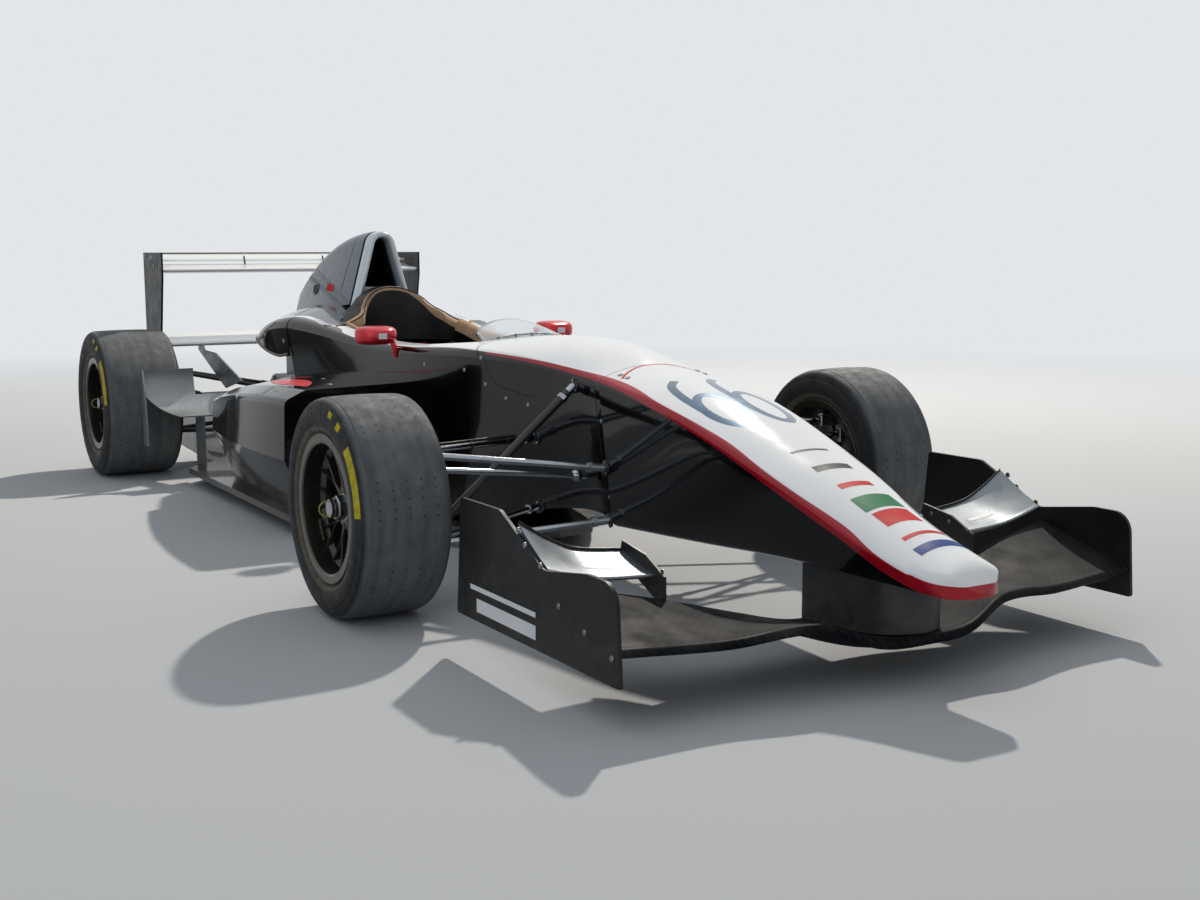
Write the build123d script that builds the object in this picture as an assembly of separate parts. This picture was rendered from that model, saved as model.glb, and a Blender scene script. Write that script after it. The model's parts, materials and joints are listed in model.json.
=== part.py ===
from build123d import *
from math import cos, radians, sin
import os

# An open wheel racing car, in millimetres. X is forward, Y is to the car's left, Z is up.
# The origin is on the ground, half way along and across the car.
# Each pair of pieces is made on the left and mirrored to the right.

# Whole car
wheelbase = 2645.0
front_overhang = 1300.0
rear_overhang = 325.0
front_track = 1502.0
rear_track = 1440.0

# Tyres and rims
bead_seat_radius = 165.0
flange_height = 17.0
flange_thickness = 6.5
barrel_wall = 5.0
front_tyre_radius = 270.0
front_tyre_section = 238.0
front_rim_width = 203.0
rear_tyre_radius = 287.5
rear_tyre_section = 300.0
rear_rim_width = 254.0
tyre_shoulder = 26.0
tread_crown = 2.5
well_depth = 13.0
spoke_count = 10
spoke_width = 10.0
spoke_depth = 14.0
spoke_fork_radius = 72.0
spoke_fork_spread = 9.0
spoke_seat = 1.5
wheel_face_setback = 46.0
hub_radius = 52.0
hub_length = 60.0
spindle_radius = 22.0
spindle_clearance = 0.08
nut_radius = 31.0
nut_length = 40.0
disc_radius = 137.0
disc_thickness = 20.0
disc_setback = 50.0
bell_radius = 72.0
running_gap = 0.3

# Body
front_bulkhead = 123.0
engine_bay_length = 845.0
tub_wall = 22.0
floor_top = 68.0
floor_thickness = 22.0
cockpit_front = -560.0
cockpit_back_wall = 160.0
cockpit_half_width = 218.0
cockpit_front_half = 150.0
seat_gap = 95.0
seat_length = 640.0
seat_half_width = 190.0

# Nose tip
nose_tip_radius = 100.0

# Front wing
wing_half_span = 687.0
endplate_thickness = 8.0
flap_inner = 436.0
flap_support_thickness = 6.0
pylon_half_width = 84.0
pylon_rear = 852.0
pylon_front = 1150.0

# Rear wing
rear_wing_tyre_gap = 5.0

# Tow eye under the crash structure
tow_eye_radius = 24.0
tow_eye_bore = 12.0
tow_eye_thickness = 8.0

# Roll hoop
hoop_from_bulkhead = 60.0
hoop_depth = 60.0
hoop_lean = 15.3
hoop_outer_base = 112.0
hoop_outer_foot = 690.0
hoop_top = 955.0
hoop_inner_base = 70.0
hoop_inner_foot = 755.0
hoop_inner_top = 931.0

# Steering and suspension
kingpin_offset = 92.0
ball_joint_rise = 120.0
steering_arm = 85.0
steering_arm_rise = 80.0
arm_radius = 9.0
rack_radius = 11.0
rack_station = 62.0
rack_height = 306.0
rack_half = 198.0
rack_clearance = 6.0
eye_radius = 14.0
eye_height = 26.0
track_rod_radius = 8.0
track_rod_eye_height = 22.0
column_radius = 12.0
column_clearance = 1.0
steering_wheel_station = -830.0
steering_wheel_height = 455.0
steering_wheel_tilt = 68.0
dash_thickness = 20.0

# Worked out. The bulkheads, the cockpit and the hoop count from the front axle.
length = front_overhang + wheelbase + rear_overhang
front_axle = length / 2 - front_overhang
rear_axle = front_axle - wheelbase
rear_end = -length / 2
rear_bulkhead = engine_bay_length - wheelbase
cockpit_rear = rear_bulkhead + cockpit_back_wall
hoop_station = rear_bulkhead + hoop_from_bulkhead
rear_wing_half_span = rear_track / 2 - rear_tyre_section / 2 - rear_wing_tyre_gap - endplate_thickness
front_wheel_y = front_track / 2
rear_wheel_y = rear_track / 2
kingpin_y = front_wheel_y - kingpin_offset


def mirrored(shape):
    """The same piece on the other side of the car."""
    return mirror(shape, about=Plane.XZ)


def pair(shape):
    """A left piece and its right twin, as solids of one node."""
    return Compound(children=solids_of(shape) + solids_of(mirrored(shape)))


def solids_of(shape):
    """The solids in a shape, as a plain list."""
    return [Solid(s.wrapped) for s in shape.solids()]


def cross_section(x, half_top, z_edge, z_crown, half_low, z_low, r_top, r_low):
    """A body section: flat bottom, sloping sides, crowned top and rounded corners."""
    low_left, low_right = (-half_low, z_low), (half_low, z_low)
    top_left, top_right = (-half_top, z_edge), (half_top, z_edge)
    outline = make_face(
        [
            Line(low_left, low_right),
            Line(low_right, top_right),
            ThreePointArc(top_right, (0, z_crown), top_left),
            Line(top_left, low_left),
        ]
    )
    outline = fillet(outline.vertices().sort_by(Axis.Y)[:2], r_low)
    outline = fillet(outline.vertices().sort_by(Axis.Y)[-2:], r_top)
    return Plane.YZ.offset(x) * outline


def body_loft(rows, inset=0.0):
    """A smooth skin through a table of sections, each drawn in by the inset."""
    sections = []
    for x, half_top, z_edge, z_crown, half_low, z_low, r_top, r_low in rows:
        sections.append(
            cross_section(
                front_axle + x,
                half_top - inset,
                z_edge - inset,
                z_crown - inset,
                half_low - inset,
                z_low + inset,
                r_top,
                r_low,
            )
        )
    return loft(sections)


def above(z, shape):
    """What lies above a height."""
    return shape - Pos(0, 0, z - 500) * Box(6000, 3000, 1000)


def plan_prism(points, z_low, z_high):
    """A straight sided block over a plan outline given as corner points."""
    return Pos(0, 0, z_low) * extrude(make_face(Polyline(*points, close=True)), z_high - z_low)


def side_plate(points, y_inner, thickness):
    """A flat plate standing fore and aft, from an outline of x and z corners."""
    face = make_face(Polyline(*points, close=True))
    return Plane.XZ.offset(-y_inner) * extrude(face, -thickness)


def bar(start, end, radius):
    """A round rod between two points."""
    a, b = Vector(*start), Vector(*end)
    return Plane(origin=a, z_dir=b - a) * extrude(Circle(radius), (b - a).length)


def aerofoil(y, le_x, le_z, te_x, te_z, thickness):
    """A wing section at one y, hollow side up, with a round nose and a blunt tail."""
    along = Vector(te_x - le_x, te_z - le_z)
    chord = along.length
    along = along / chord
    up = Vector(along.Y, -along.X) if along.X < 0 else Vector(-along.Y, along.X)
    nose = Vector(le_x, le_z)
    tail = Vector(te_x, te_z)
    high = nose + along * (0.05 * chord) + up * (0.30 * thickness)
    low = nose + along * (0.06 * chord) - up * (0.42 * thickness)
    mid_high = nose + along * (0.5 * chord) - up * (0.02 * thickness)
    mid_low = nose + along * (0.42 * chord) - up * (0.95 * thickness)
    tail_high = tail + up * 1.2
    tail_low = tail - up * 1.2
    face = make_face(
        [
            ThreePointArc(low, nose, high),
            ThreePointArc(high, mid_high, tail_high),
            Line(tail_high, tail_low),
            ThreePointArc(tail_low, mid_low, low),
        ]
    )
    return Plane.XZ.offset(-y) * face


def wing(rows, origin_x):
    """A wing through a table of sections, with x counted from an axle."""
    sections = [aerofoil(y, origin_x + a, b, origin_x + c, d, t) for y, a, b, c, d, t in rows]
    return loft(sections, ruled=True)


# Monocoque: x from the front axle, half width and height of the top edge, crown,
# half width and height of the bottom edge, corner radii
tub_rows = [
    (front_bulkhead, 168, 556, 590, 125, 172, 20, 24),
    (-400, 222, 597, 640, 168, 128, 24, 24),
    (cockpit_rear + 690, 264, 588, 612, 246, 60, 24, 24),
    (cockpit_rear + 360, 284, 594, 622, 256, 60, 24, 24),
    (rear_bulkhead + 200, 318, 626, 654, 262, 60, 30, 24),
    (rear_bulkhead, 345, 640, 680, 262, 60, 40, 24),
]

nose_rows = [
    (front_bulkhead, 168, 556, 590, 125, 172, 20, 24),
    (450, 166, 503, 537, 108, 188, 20, 20),
    (800, 143, 394, 430, 98, 210, 18, 16),
    (1080, 113, 286, 333, 86, 216, 12, 10),
    (1320, 96, 228, 264, 72, 214, 5, 5),
]


def tub_skin():
    """The whole outside of the monocoque, with its flat bottom."""
    return above(floor_top, body_loft(tub_rows))


def cockpit_opening():
    """The hole for the driver, narrow at the front and round at its corners."""
    corner = 70.0
    front, rear = front_axle + cockpit_front, front_axle + cockpit_rear
    outline = make_face(
        Polyline(
            (front, -cockpit_front_half),
            (front, cockpit_front_half),
            (front - 260, cockpit_half_width),
            (rear, cockpit_half_width),
            (rear, -cockpit_half_width),
            (front - 260, -cockpit_half_width),
            close=True,
        )
    )
    outline = fillet(outline.vertices(), corner)
    return Pos(0, 0, 430) * extrude(outline, 400)


def column_line(radius):
    """A round bar along the steering column, from the wheel forward and down."""
    x, z = front_axle + steering_wheel_station, steering_wheel_height
    tilt = radians(steering_wheel_tilt)
    reach = 345.0
    return bar((x, 0, z), (x + reach * sin(tilt), 0, z - reach * cos(tilt)), radius)


def make_monocoque(skin):
    """The tub: a hollow shell with a cockpit opening and holes for the steering rack."""
    x_front = front_bulkhead - tub_wall
    inner_rows = [(min(row[0], x_front),) + row[1:] for row in tub_rows[:-1]]
    cavity = above(floor_top + tub_wall, body_loft(inner_rows, tub_wall))
    tub = skin - cavity - cockpit_opening()
    dash_x = front_axle + cockpit_front + dash_thickness / 2
    dash = skin & (Pos(dash_x, 0, 500) * Box(dash_thickness, 600, 400))
    tub = tub + dash - column_line(column_radius + column_clearance)
    rack = bar(
        (front_axle + rack_station, -400, rack_height),
        (front_axle + rack_station, 400, rack_height),
        rack_radius + rack_clearance,
    )
    return tub - rack


def make_nose():
    """The nose cone, with a tip that is round in plan and from the side."""
    cone = body_loft(nose_rows)
    tip = front_axle + front_overhang
    middle = tip - nose_tip_radius
    outline = make_face(
        [
            Line((front_axle, -400), (middle, -400)),
            Line((middle, -400), (middle, -nose_tip_radius)),
            ThreePointArc((middle, -nose_tip_radius), (tip, 0), (middle, nose_tip_radius)),
            Line((middle, nose_tip_radius), (middle, 400)),
            Line((middle, 400), (front_axle, 400)),
            Line((front_axle, 400), (front_axle, -400)),
        ]
    )
    low, chin, brow = 100, 224, 306
    brow_x = tip - 105
    side = make_face(
        [
            Line((front_axle, low), (tip, low)),
            Line((tip, low), (tip, chin)),
            ThreePointArc((tip, chin), (tip - 24, 262), (brow_x, brow)),
            Line((brow_x, brow), (brow_x, 1000)),
            Line((brow_x, 1000), (front_axle, 1000)),
            Line((front_axle, 1000), (front_axle, low)),
        ]
    )
    return cone & extrude(outline, 1000) & (Plane.XZ.offset(400) * extrude(side, -800))


# Front wing main plane: y, leading edge x and z, trailing edge x and z, thickness
main_plane_rows = [
    (0, 1165, 103, 845, 84, 26),
    (120, 1158, 108, 845, 87, 26),
    (250, 1128, 150, 840, 118, 26),
    (450, 1098, 137, 830, 172, 24),
    (wing_half_span, 1085, 150, 820, 224, 20),
]

flap_rows = [
    (flap_inner, 808, 214, 682, 244, 11),
    (560, 808, 222, 680, 260, 11),
    (622, 808, 234, 680, 288, 11),
    (wing_half_span, 808, 252, 679, 328, 11),
]

# Outline of the front endplate from the side: x from the front axle, z, corner radius
front_endplate_rows = [
    (394, 82, 6),
    (420, 346, 10),
    (609, 347, 30),
    (805, 254, 45),
    (973, 280, 120),
    (1077, 280, 48),
    (1091, 86, 6),
]

flap_support_points = [
    (842, 150),
    (842, 218),
    (770, 252),
    (676, 267),
    (668, 240),
    (740, 195),
]


def make_main_plane():
    """The front wing's main plane, dipped in the middle under the nose."""
    far_side = [(-row[0],) + row[1:] for row in reversed(main_plane_rows[1:])]
    return wing(far_side + main_plane_rows, front_axle)


def make_flap():
    """One front flap, swept up to the endplate."""
    return wing(flap_rows, front_axle)


def make_flap_support(main_plane):
    """The curved plate that stands on the main plane at the flap's inner end."""
    points = [(front_axle + x, z) for x, z in flap_support_points]
    plate = side_plate(points, flap_inner - flap_support_thickness, flap_support_thickness)
    return plate - main_plane


def make_front_endplate():
    """One endplate of the front wing."""
    corners = [(front_axle + x, z) for x, z, radius in front_endplate_rows]
    face = make_face(Polyline(*corners, close=True))
    for (x, z), (_, _, radius) in zip(corners, front_endplate_rows):
        face = fillet(face.vertices().sort_by_distance((x, z, 0))[0], radius)
    return Plane.XZ.offset(-wing_half_span) * extrude(face, -endplate_thickness)


def make_pylon(nose, main_plane):
    """The block that hangs the front wing under the nose."""
    half = pylon_half_width
    rear, front = front_axle + pylon_rear, front_axle + pylon_front
    middle = front - half
    outline = make_face(
        [
            Line((rear, -half), (middle, -half)),
            ThreePointArc((middle, -half), (front, 0), (middle, half)),
            Line((middle, half), (rear, half)),
            Line((rear, half), (rear, -half)),
        ]
    )
    block = Pos(0, 0, 60) * extrude(outline, 240)
    block = block - nose - main_plane
    return max(block.solids(), key=lambda s: s.volume)


def make_windscreen(skin):
    """The low clear screen round the front of the cockpit."""
    glass = 4.0

    def band(z, front, half, depth):
        outer = (front_axle + front, half, depth)
        points = []
        for x0, h, d in (outer, (outer[0] - glass, half - glass, depth)):
            points.append(((x0 - d, h), (x0, 0), (x0 - d, -h)))
        face = make_face(
            [
                ThreePointArc(*points[0]),
                Line(points[0][2], points[1][2]),
                ThreePointArc(*reversed(points[1])),
                Line(points[1][0], points[0][0]),
            ]
        )
        return Pos(0, 0, z) * face

    screen = loft([band(590, -470, 205, 110), band(666, -640, 140, 75)])
    screen = screen - skin
    return max(screen.solids(), key=lambda s: s.center().Z)


def make_headrest(skin):
    """The head surround: a hump in front of the roll hoop with a round hollow for the head."""
    front, rear = front_axle + cockpit_rear + 130, front_axle + hoop_station + hoop_depth / 2
    high, shoulder = 756.0, 640.0
    outline = make_face(
        [
            Line((-285, 560), (285, 560)),
            Line((285, 560), (285, shoulder - 12)),
            ThreePointArc((285, shoulder - 12), (170, shoulder + 18), (112, shoulder + 72)),
            ThreePointArc((112, shoulder + 72), (0, high), (-112, shoulder + 72)),
            ThreePointArc((-112, shoulder + 72), (-170, shoulder + 18), (-285, shoulder - 12)),
            Line((-285, shoulder - 12), (-285, 560)),
        ]
    )
    hump = Plane.YZ.offset(rear) * extrude(outline, front - rear)
    head_space = Pos(front + 20, 0, 500) * extrude(Circle(150), 400)
    hump = hump - head_space - skin
    return max(hump.solids(), key=lambda s: s.volume)


def arch(half_base, foot, top):
    """An arch outline: two leaning legs and a round top, tangent to both."""
    lean = radians(hoop_lean)
    radius = (half_base * cos(lean) - (top - foot) * sin(lean)) / (1 - sin(lean))
    touch_y = radius * cos(lean)
    touch_z = top - radius + radius * sin(lean)
    return make_face(
        [
            Line((-half_base, foot), (half_base, foot)),
            Line((half_base, foot), (touch_y, touch_z)),
            ThreePointArc((touch_y, touch_z), (0, top), (-touch_y, touch_z)),
            Line((-touch_y, touch_z), (-half_base, foot)),
        ]
    )


def make_roll_hoop(skin):
    """The main roll hoop, an arch that stands on the monocoque."""
    x = front_axle + hoop_station - hoop_depth / 2
    outer = arch(hoop_outer_base, hoop_outer_foot, hoop_top)
    legs = make_face(
        Polyline(
            (-hoop_outer_base - 14, 600),
            (hoop_outer_base + 14, 600),
            (hoop_outer_base, hoop_outer_foot),
            (-hoop_outer_base, hoop_outer_foot),
            close=True,
        )
    )
    inner = arch(hoop_inner_base, hoop_inner_foot, hoop_inner_top)
    hoop = Plane.YZ.offset(x) * extrude(outer + legs - inner, hoop_depth)
    hoop = hoop - skin
    return max(hoop.solids(), key=lambda s: s.volume)


# Engine cover: x from the front axle and the columns of the body table
cover_rows = [
    (rear_bulkhead, 345, 640, 680, 330, 440, 40, 10),
    (rear_bulkhead - 280, 352, 592, 690, 340, 420, 40, 10),
    (rear_bulkhead - 500, 300, 520, 640, 295, 410, 40, 10),
    (rear_bulkhead - 640, 215, 462, 570, 225, 400, 40, 10),
]

# Hoop cowl: x from the front axle, half width of the foot, foot and top heights
cowl_rows = [
    (hoop_station - hoop_depth / 2, hoop_outer_base, hoop_outer_foot, hoop_top),
    (rear_bulkhead - 370, 104, 640, 892),
    (rear_bulkhead - 740, 74, 560, 730),
]

cover_wall = 8.0

# Lower edge of the engine cover seen from the side, x from the rear bulkhead
cover_edge = [(5, 300), (5, 507), (-100, 498), (-250, 516), (-400, 548), (-700, 610), (-700, 300)]


def make_engine_cover(skin_of_cover):
    """The black cover over the engine, open below."""
    inner = []
    for row, overrun in zip(cover_rows, (1, 0, 0, -1)):
        x, half_top, z_edge, z_crown, half_low, z_low, r_top, r_low = row
        inner.append((x + overrun, half_top, z_edge, z_crown, half_low, z_low - 40, r_top, r_low))
    bulkhead_x = front_axle + rear_bulkhead
    outline = make_face(Polyline(*[(bulkhead_x + x, z) for x, z in cover_edge], close=True))
    below = Plane.XZ.offset(500) * extrude(outline, -1000)
    cover = skin_of_cover - body_loft(inner, cover_wall) - below
    return max(cover.solids(), key=lambda s: s.volume)


def make_cowl(hoop_free_of, cover_skin):
    """The silver cowl behind the roll hoop, with the air intake in its front."""
    sections = []
    for x, half, foot, top in cowl_rows:
        sections.append(Plane.YZ.offset(front_axle + x) * arch(half, foot, top))
    cowl = loft(sections)
    duct_face = arch(hoop_inner_base, hoop_inner_foot, hoop_inner_top)
    duct = Plane.YZ.offset(front_axle + cowl_rows[0][0] - 200) * extrude(duct_face, 200)
    cowl = cowl - duct - cover_skin - hoop_free_of
    return max(cowl.solids(), key=lambda s: s.volume)


# Sidepod: x from the front axle, outer face, top outside and inside, foot of the side
sidepod_rows = [
    (-960, 640, 462, 472, 560),
    (-1350, 650, 448, 474, 560),
    (rear_bulkhead + 80, 624, 408, 462, 535),
    (rear_bulkhead - 160, 590, 370, 430, 500),
]
sidepod_crease = 250.0


def make_sidepod(skin, cover_skin):
    """One sidepod with its radiator inlet, undercut below a crease."""
    sections = []
    for x, outer, top_out, top_in, foot in sidepod_rows:
        face = make_face(
            Polyline(
                (200, 60),
                (foot, 60),
                (outer, sidepod_crease),
                (outer - 6, top_out - 30),
                (outer - 70, top_out),
                (200, top_in),
                close=True,
            )
        )
        corners = face.vertices().sort_by(Axis.X)
        rounded = [v for v in corners if v.X > outer - 80 and v.Y > sidepod_crease + 20]
        face = fillet(rounded, 26)
        sections.append(Plane.YZ.offset(front_axle + x) * face)
    pod = above(floor_top, loft(sections))
    front, rear = front_axle + sidepod_rows[0][0], front_axle + sidepod_rows[-1][0]
    plan = make_face(
        Polyline(
            (front, 100),
            (front, 670),
            (rear + 120, 670),
            (rear, 430),
            (rear, 100),
            close=True,
        )
    )
    pod = pod & extrude(plan, 700)
    pod = pod - skin - cover_skin
    inlet = make_face(
        Polyline((320, 150), (530, 150), (590, 255), (575, 420), (320, 432), close=True)
    )
    inlet = fillet(inlet.vertices(), 18)
    duct = Plane.YZ.offset(front - 260) * extrude(inlet, 300)
    pod = pod - duct
    return max(pod.solids(), key=lambda s: s.volume)


def make_radiator():
    """The radiator at the back of the sidepod's inlet duct."""
    front = front_axle + sidepod_rows[0][0]
    return Pos(front - 235, 430, 285) * Box(50, 170, 230)


# Outline of the floor's left half: x from the front axle, y
floor_points = [
    (-380, 0),
    (-400, 120),
    (-520, 200),
    (-900, 420),
    (-960, 560),
    (-1020, 610),
    (455 - wheelbase, 610),
    (385 - wheelbase, 560),
    (345 - wheelbase, 500),
    (305 - wheelbase, 470),
    (225 - wheelbase, 460),
]


def make_floor():
    """The flat floor with the tail that sweeps up as the diffuser."""
    left = [(front_axle + x, y) for x, y in floor_points]
    right = [(x, -y) for x, y in reversed(left) if y > 0]
    flat = plan_prism(left + right, floor_top - floor_thickness, floor_top)
    start, end = front_axle + floor_points[-1][0], rear_axle - 250
    half = floor_points[-1][1]
    low, high = floor_top - floor_thickness, 195.0
    ramp = make_face(
        Polyline((start, low), (start, floor_top), (end, high), (end, high - 8), close=True)
    )
    ramp = Plane.XZ.offset(half) * extrude(ramp, -2 * half)
    body = flat + ramp
    for y in (-half, -half / 2 - 20, half / 2 + 20, half - 6):
        fin = make_face(
            Polyline((start, low), (start, floor_top - 2), (end, high - 4), (end, low + 20), close=True)
        )
        body = body + Plane.XZ.offset(-y) * extrude(fin, -6)
    return body


# Ramp ahead of the rear tyre, x from the rear axle
ramp_front = 470.0
ramp_rear = 312.0
ramp_inner = 400.0
ramp_wall_inner = 545.0
ramp_outer = 742.0
ramp_low = 262.0
ramp_shelf = 335.0
ramp_high = 436.0
ramp_thickness = 5.0


def make_tyre_ramp():
    """The scoop of bright carbon ahead of the rear tyre, with the fence that hangs below it."""
    front, rear = rear_axle + ramp_front, rear_axle + ramp_rear
    mid = (front + rear) / 2
    t = ramp_thickness
    outer = ThreePointArc((front, ramp_low), (rear + 45, ramp_low + 42), (rear, ramp_high))
    inner = ThreePointArc((rear + t, ramp_high), (rear + 45 + t, ramp_low + 42 + t), (front, ramp_low + t))
    sheet = make_face(
        [
            outer,
            Line((rear, ramp_high), (rear + t, ramp_high)),
            inner,
            Line((front, ramp_low + t), (front, ramp_low)),
        ]
    )
    sheet = Plane.XZ.offset(-ramp_inner) * extrude(sheet, -(ramp_outer - ramp_inner))
    view = make_face(
        [
            Line((ramp_inner, ramp_shelf), (ramp_wall_inner, ramp_shelf)),
            Line((ramp_wall_inner, ramp_shelf), (ramp_wall_inner, ramp_high + 1)),
            Line((ramp_wall_inner, ramp_high + 1), (ramp_outer, ramp_high + 1)),
            Line((ramp_outer, ramp_high + 1), (ramp_outer, ramp_low + 95)),
            ThreePointArc(
                (ramp_outer, ramp_low + 95), (ramp_outer - 62, ramp_low + 22), (ramp_outer - 150, ramp_low - 1)
            ),
            Line((ramp_outer - 150, ramp_low - 1), (ramp_inner, ramp_low - 1)),
            Line((ramp_inner, ramp_low - 1), (ramp_inner, ramp_shelf)),
        ]
    )
    scoop = sheet & (Plane.YZ.offset(rear - 10) * extrude(view, front - rear + 20))
    fence = side_plate(
        [(rear, 150), (rear, ramp_high), (rear + 14, ramp_high), (rear + 40, ramp_low + 95), (rear + 60, 150)],
        ramp_outer - 6,
        6,
    )
    leg = side_plate(
        [(rear + 30, floor_top), (rear + 30, ramp_low + 60), (front - 10, ramp_low + 2), (front - 10, floor_top)],
        545,
        5,
    )
    leg = leg & (Plane.XZ.offset(-540) * extrude(under_ramp(front, rear), -20))
    return scoop + fence + leg


def under_ramp(front, rear):
    """The side view of the space below the ramp's sheet."""
    return make_face(
        [
            Line((front, floor_top), (front, ramp_low)),
            ThreePointArc((front, ramp_low), (rear + 45, ramp_low + 42), (rear, ramp_high)),
            Line((rear, ramp_high), (rear, floor_top)),
            Line((rear, floor_top), (front, floor_top)),
        ]
    )


# Plates from the sidepods up to the lower rear wing: x from the rear end, then x from the rear axle
stay_wing_points = [(195, 478), (195, 520), (250, 520), (285, 480)]
stay_pod_points = [(120, 478), (470, 392), (250, 346)]
stay_y = 396.0
stay_thickness = 6.0

# Rear wing: y is the half span, x from the rear end of the car
rear_main = (285.0, 808.0, 135.0, 830.0, 22.0)
rear_flap = (140.0, 848.0, 8.0, 873.0, 11.0)
beam_wing = (265.0, 505.0, 80.0, 540.0, 22.0)
rear_endplate_points = [
    (295, 880),
    (0, 880),
    (0, 330),
    (60, 300),
    (170, 430),
    (235, 540),
    (245, 570),
    (295, 785),
]


def straight_wing(row, half):
    """A wing of one section from side to side, x counted from the rear end."""
    le_x, le_z, te_x, te_z, t = row
    ends = [aerofoil(y, rear_end + le_x, le_z, rear_end + te_x, te_z, t) for y in (-half, half)]
    return loft(ends)


def make_rear_endplate():
    """One endplate of the rear wing, which also carries the lower wing."""
    points = [(rear_end + x, z) for x, z in rear_endplate_points]
    return side_plate(points, rear_wing_half_span, endplate_thickness)


def make_stay(pod, lower_wing):
    """One flat plate from the sidepod up to the lower wing."""
    points = [(rear_end + x, z) for x, z in stay_wing_points]
    points += [(rear_axle + x, z) for x, z in stay_pod_points]
    plate = side_plate(points, stay_y, stay_thickness) - pod - lower_wing
    return max(plate.solids(), key=lambda s: s.volume)


def make_engine():
    """The engine as one plain block of its real size."""
    front = front_axle + rear_bulkhead
    return Pos(front - 215, 0, 285) * Box(430, 340, 330)


def make_gearbox(lower_wing):
    """Bellhousing, gear case, crash structure and the posts of the lower wing."""
    engine_rear = front_axle + rear_bulkhead - 430
    rows = [(engine_rear, 150, 120, 420), (rear_axle + 160, 92, 140, 380), (rear_axle - 150, 88, 185, 360)]
    sections = []
    for x, half, low, high in rows:
        middle = (low + high) / 2
        face = RectangleRounded(2 * half, high - low, 26)
        sections.append(Plane.YZ.offset(x) * Pos(0, middle) * face)
    case = loft(sections)
    tail_front, tail_rear = rear_axle - 150, rear_end + 14
    tail = loft(
        [
            Plane.YZ.offset(tail_front) * Pos(0, 268) * RectangleRounded(150, 160, 20),
            Plane.YZ.offset(tail_rear) * Pos(0, 270) * RectangleRounded(90, 90, 20),
        ]
    )
    posts = Pos(rear_end + 205, 0, 440) * Box(130, 12, 200)
    flange = bar((rear_axle, -118, rear_tyre_radius), (rear_axle, 118, rear_tyre_radius), 45)
    body = case + tail + flange
    body = body + (posts - lower_wing)
    eye_x, eye_z = rear_end + tow_eye_radius + 4, 200.0
    eye = bar((eye_x, -tow_eye_thickness / 2, eye_z), (eye_x, tow_eye_thickness / 2, eye_z), tow_eye_radius)
    neck = Pos(eye_x, 0, eye_z + 25) * Box(24, tow_eye_thickness, 40)
    hole = bar((eye_x, -20, eye_z), (eye_x, 20, eye_z), tow_eye_bore)
    body = body + eye + neck - hole
    pin_x, pin_z = rear_axle - 230, 262.0
    body = body + bar((pin_x, -125, pin_z), (pin_x, 125, pin_z), 14)
    return max(body.solids(), key=lambda s: s.volume)


def make_tail_light():
    """The rain light on the end of the crash structure."""
    return Pos(rear_end + 7, 0, 270) * Box(14, 70, 60)


def make_mirror(skin):
    """One door mirror pod on its short stalk."""
    x, y, z = front_axle - 975, 318.0, 620.0
    pod = Pos(x, y, z) * Box(70, 148, 54)
    pod = fillet(pod.edges(), 14)
    stalk = bar((x + 5, y - 50, 560), (x + 5, y - 45, z), 9)
    piece = (pod + stalk) - skin
    return max(piece.solids(), key=lambda s: s.volume)


def make_seat():
    """The moulded seat shell."""
    x0 = front_axle + cockpit_rear + seat_gap
    seat_base = floor_top + tub_wall
    side = make_face(
        Polyline(
            (x0, 520),
            (x0 + 14, 526),
            (x0 + 250, 124),
            (x0 + seat_length, 104),
            (x0 + seat_length, seat_base),
            (x0 + 236, seat_base),
            close=True,
        )
    )
    return Plane.XZ.offset(seat_half_width) * extrude(side, -2 * seat_half_width)


def make_steering_wheel():
    """A small flat bottomed steering wheel with its hub."""
    rim = Torus(125, 13)
    spokes = Box(226, 40, 10)
    hub = Cylinder(34, 24)
    wheel = rim + spokes + hub
    x, z = front_axle + steering_wheel_station, steering_wheel_height
    place = Location((x, 0, z), (0, -steering_wheel_tilt, 0))
    return place * wheel + column_line(column_radius)


# Wheels. The wheel's own axis is Z while it is made, with the outside up.
def tyre_profile(radius, section, rim_width):
    """Half of a tyre's cut, turned round the axle: bead, sidewall, shoulder and tread."""
    seat = rim_width / 2 - 1.0
    bulge = section / 2
    bead = bead_seat_radius + running_gap
    rim_top = bead_seat_radius + flange_height
    tread = bulge - tyre_shoulder - 4
    top = radius - tread_crown
    right = [
        Line((bead, 0), (bead, seat)),
        Line((bead, seat), (rim_top + 3, seat)),
        ThreePointArc(
            (rim_top + 3, seat), ((rim_top + radius) / 2 - 8, bulge), (top - tyre_shoulder, bulge - 5)
        ),
        ThreePointArc(
            (top - tyre_shoulder, bulge - 5), (top - 8, bulge - 13), (top, tread)
        ),
        ThreePointArc((top, tread), (radius, 0), (top, -tread)),
        ThreePointArc(
            (top, -tread), (top - 8, -bulge + 13), (top - tyre_shoulder, -bulge + 5)
        ),
        ThreePointArc(
            (top - tyre_shoulder, -bulge + 5), ((rim_top + radius) / 2 - 8, -bulge), (rim_top + 3, -seat)
        ),
        Line((rim_top + 3, -seat), (bead, -seat)),
        Line((bead, -seat), (bead, 0)),
    ]
    return make_face(right)


def make_tyre(radius, section, rim_width):
    """One slick tyre."""
    return revolve(Plane.XZ * tyre_profile(radius, section, rim_width), Axis.Z)


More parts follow.
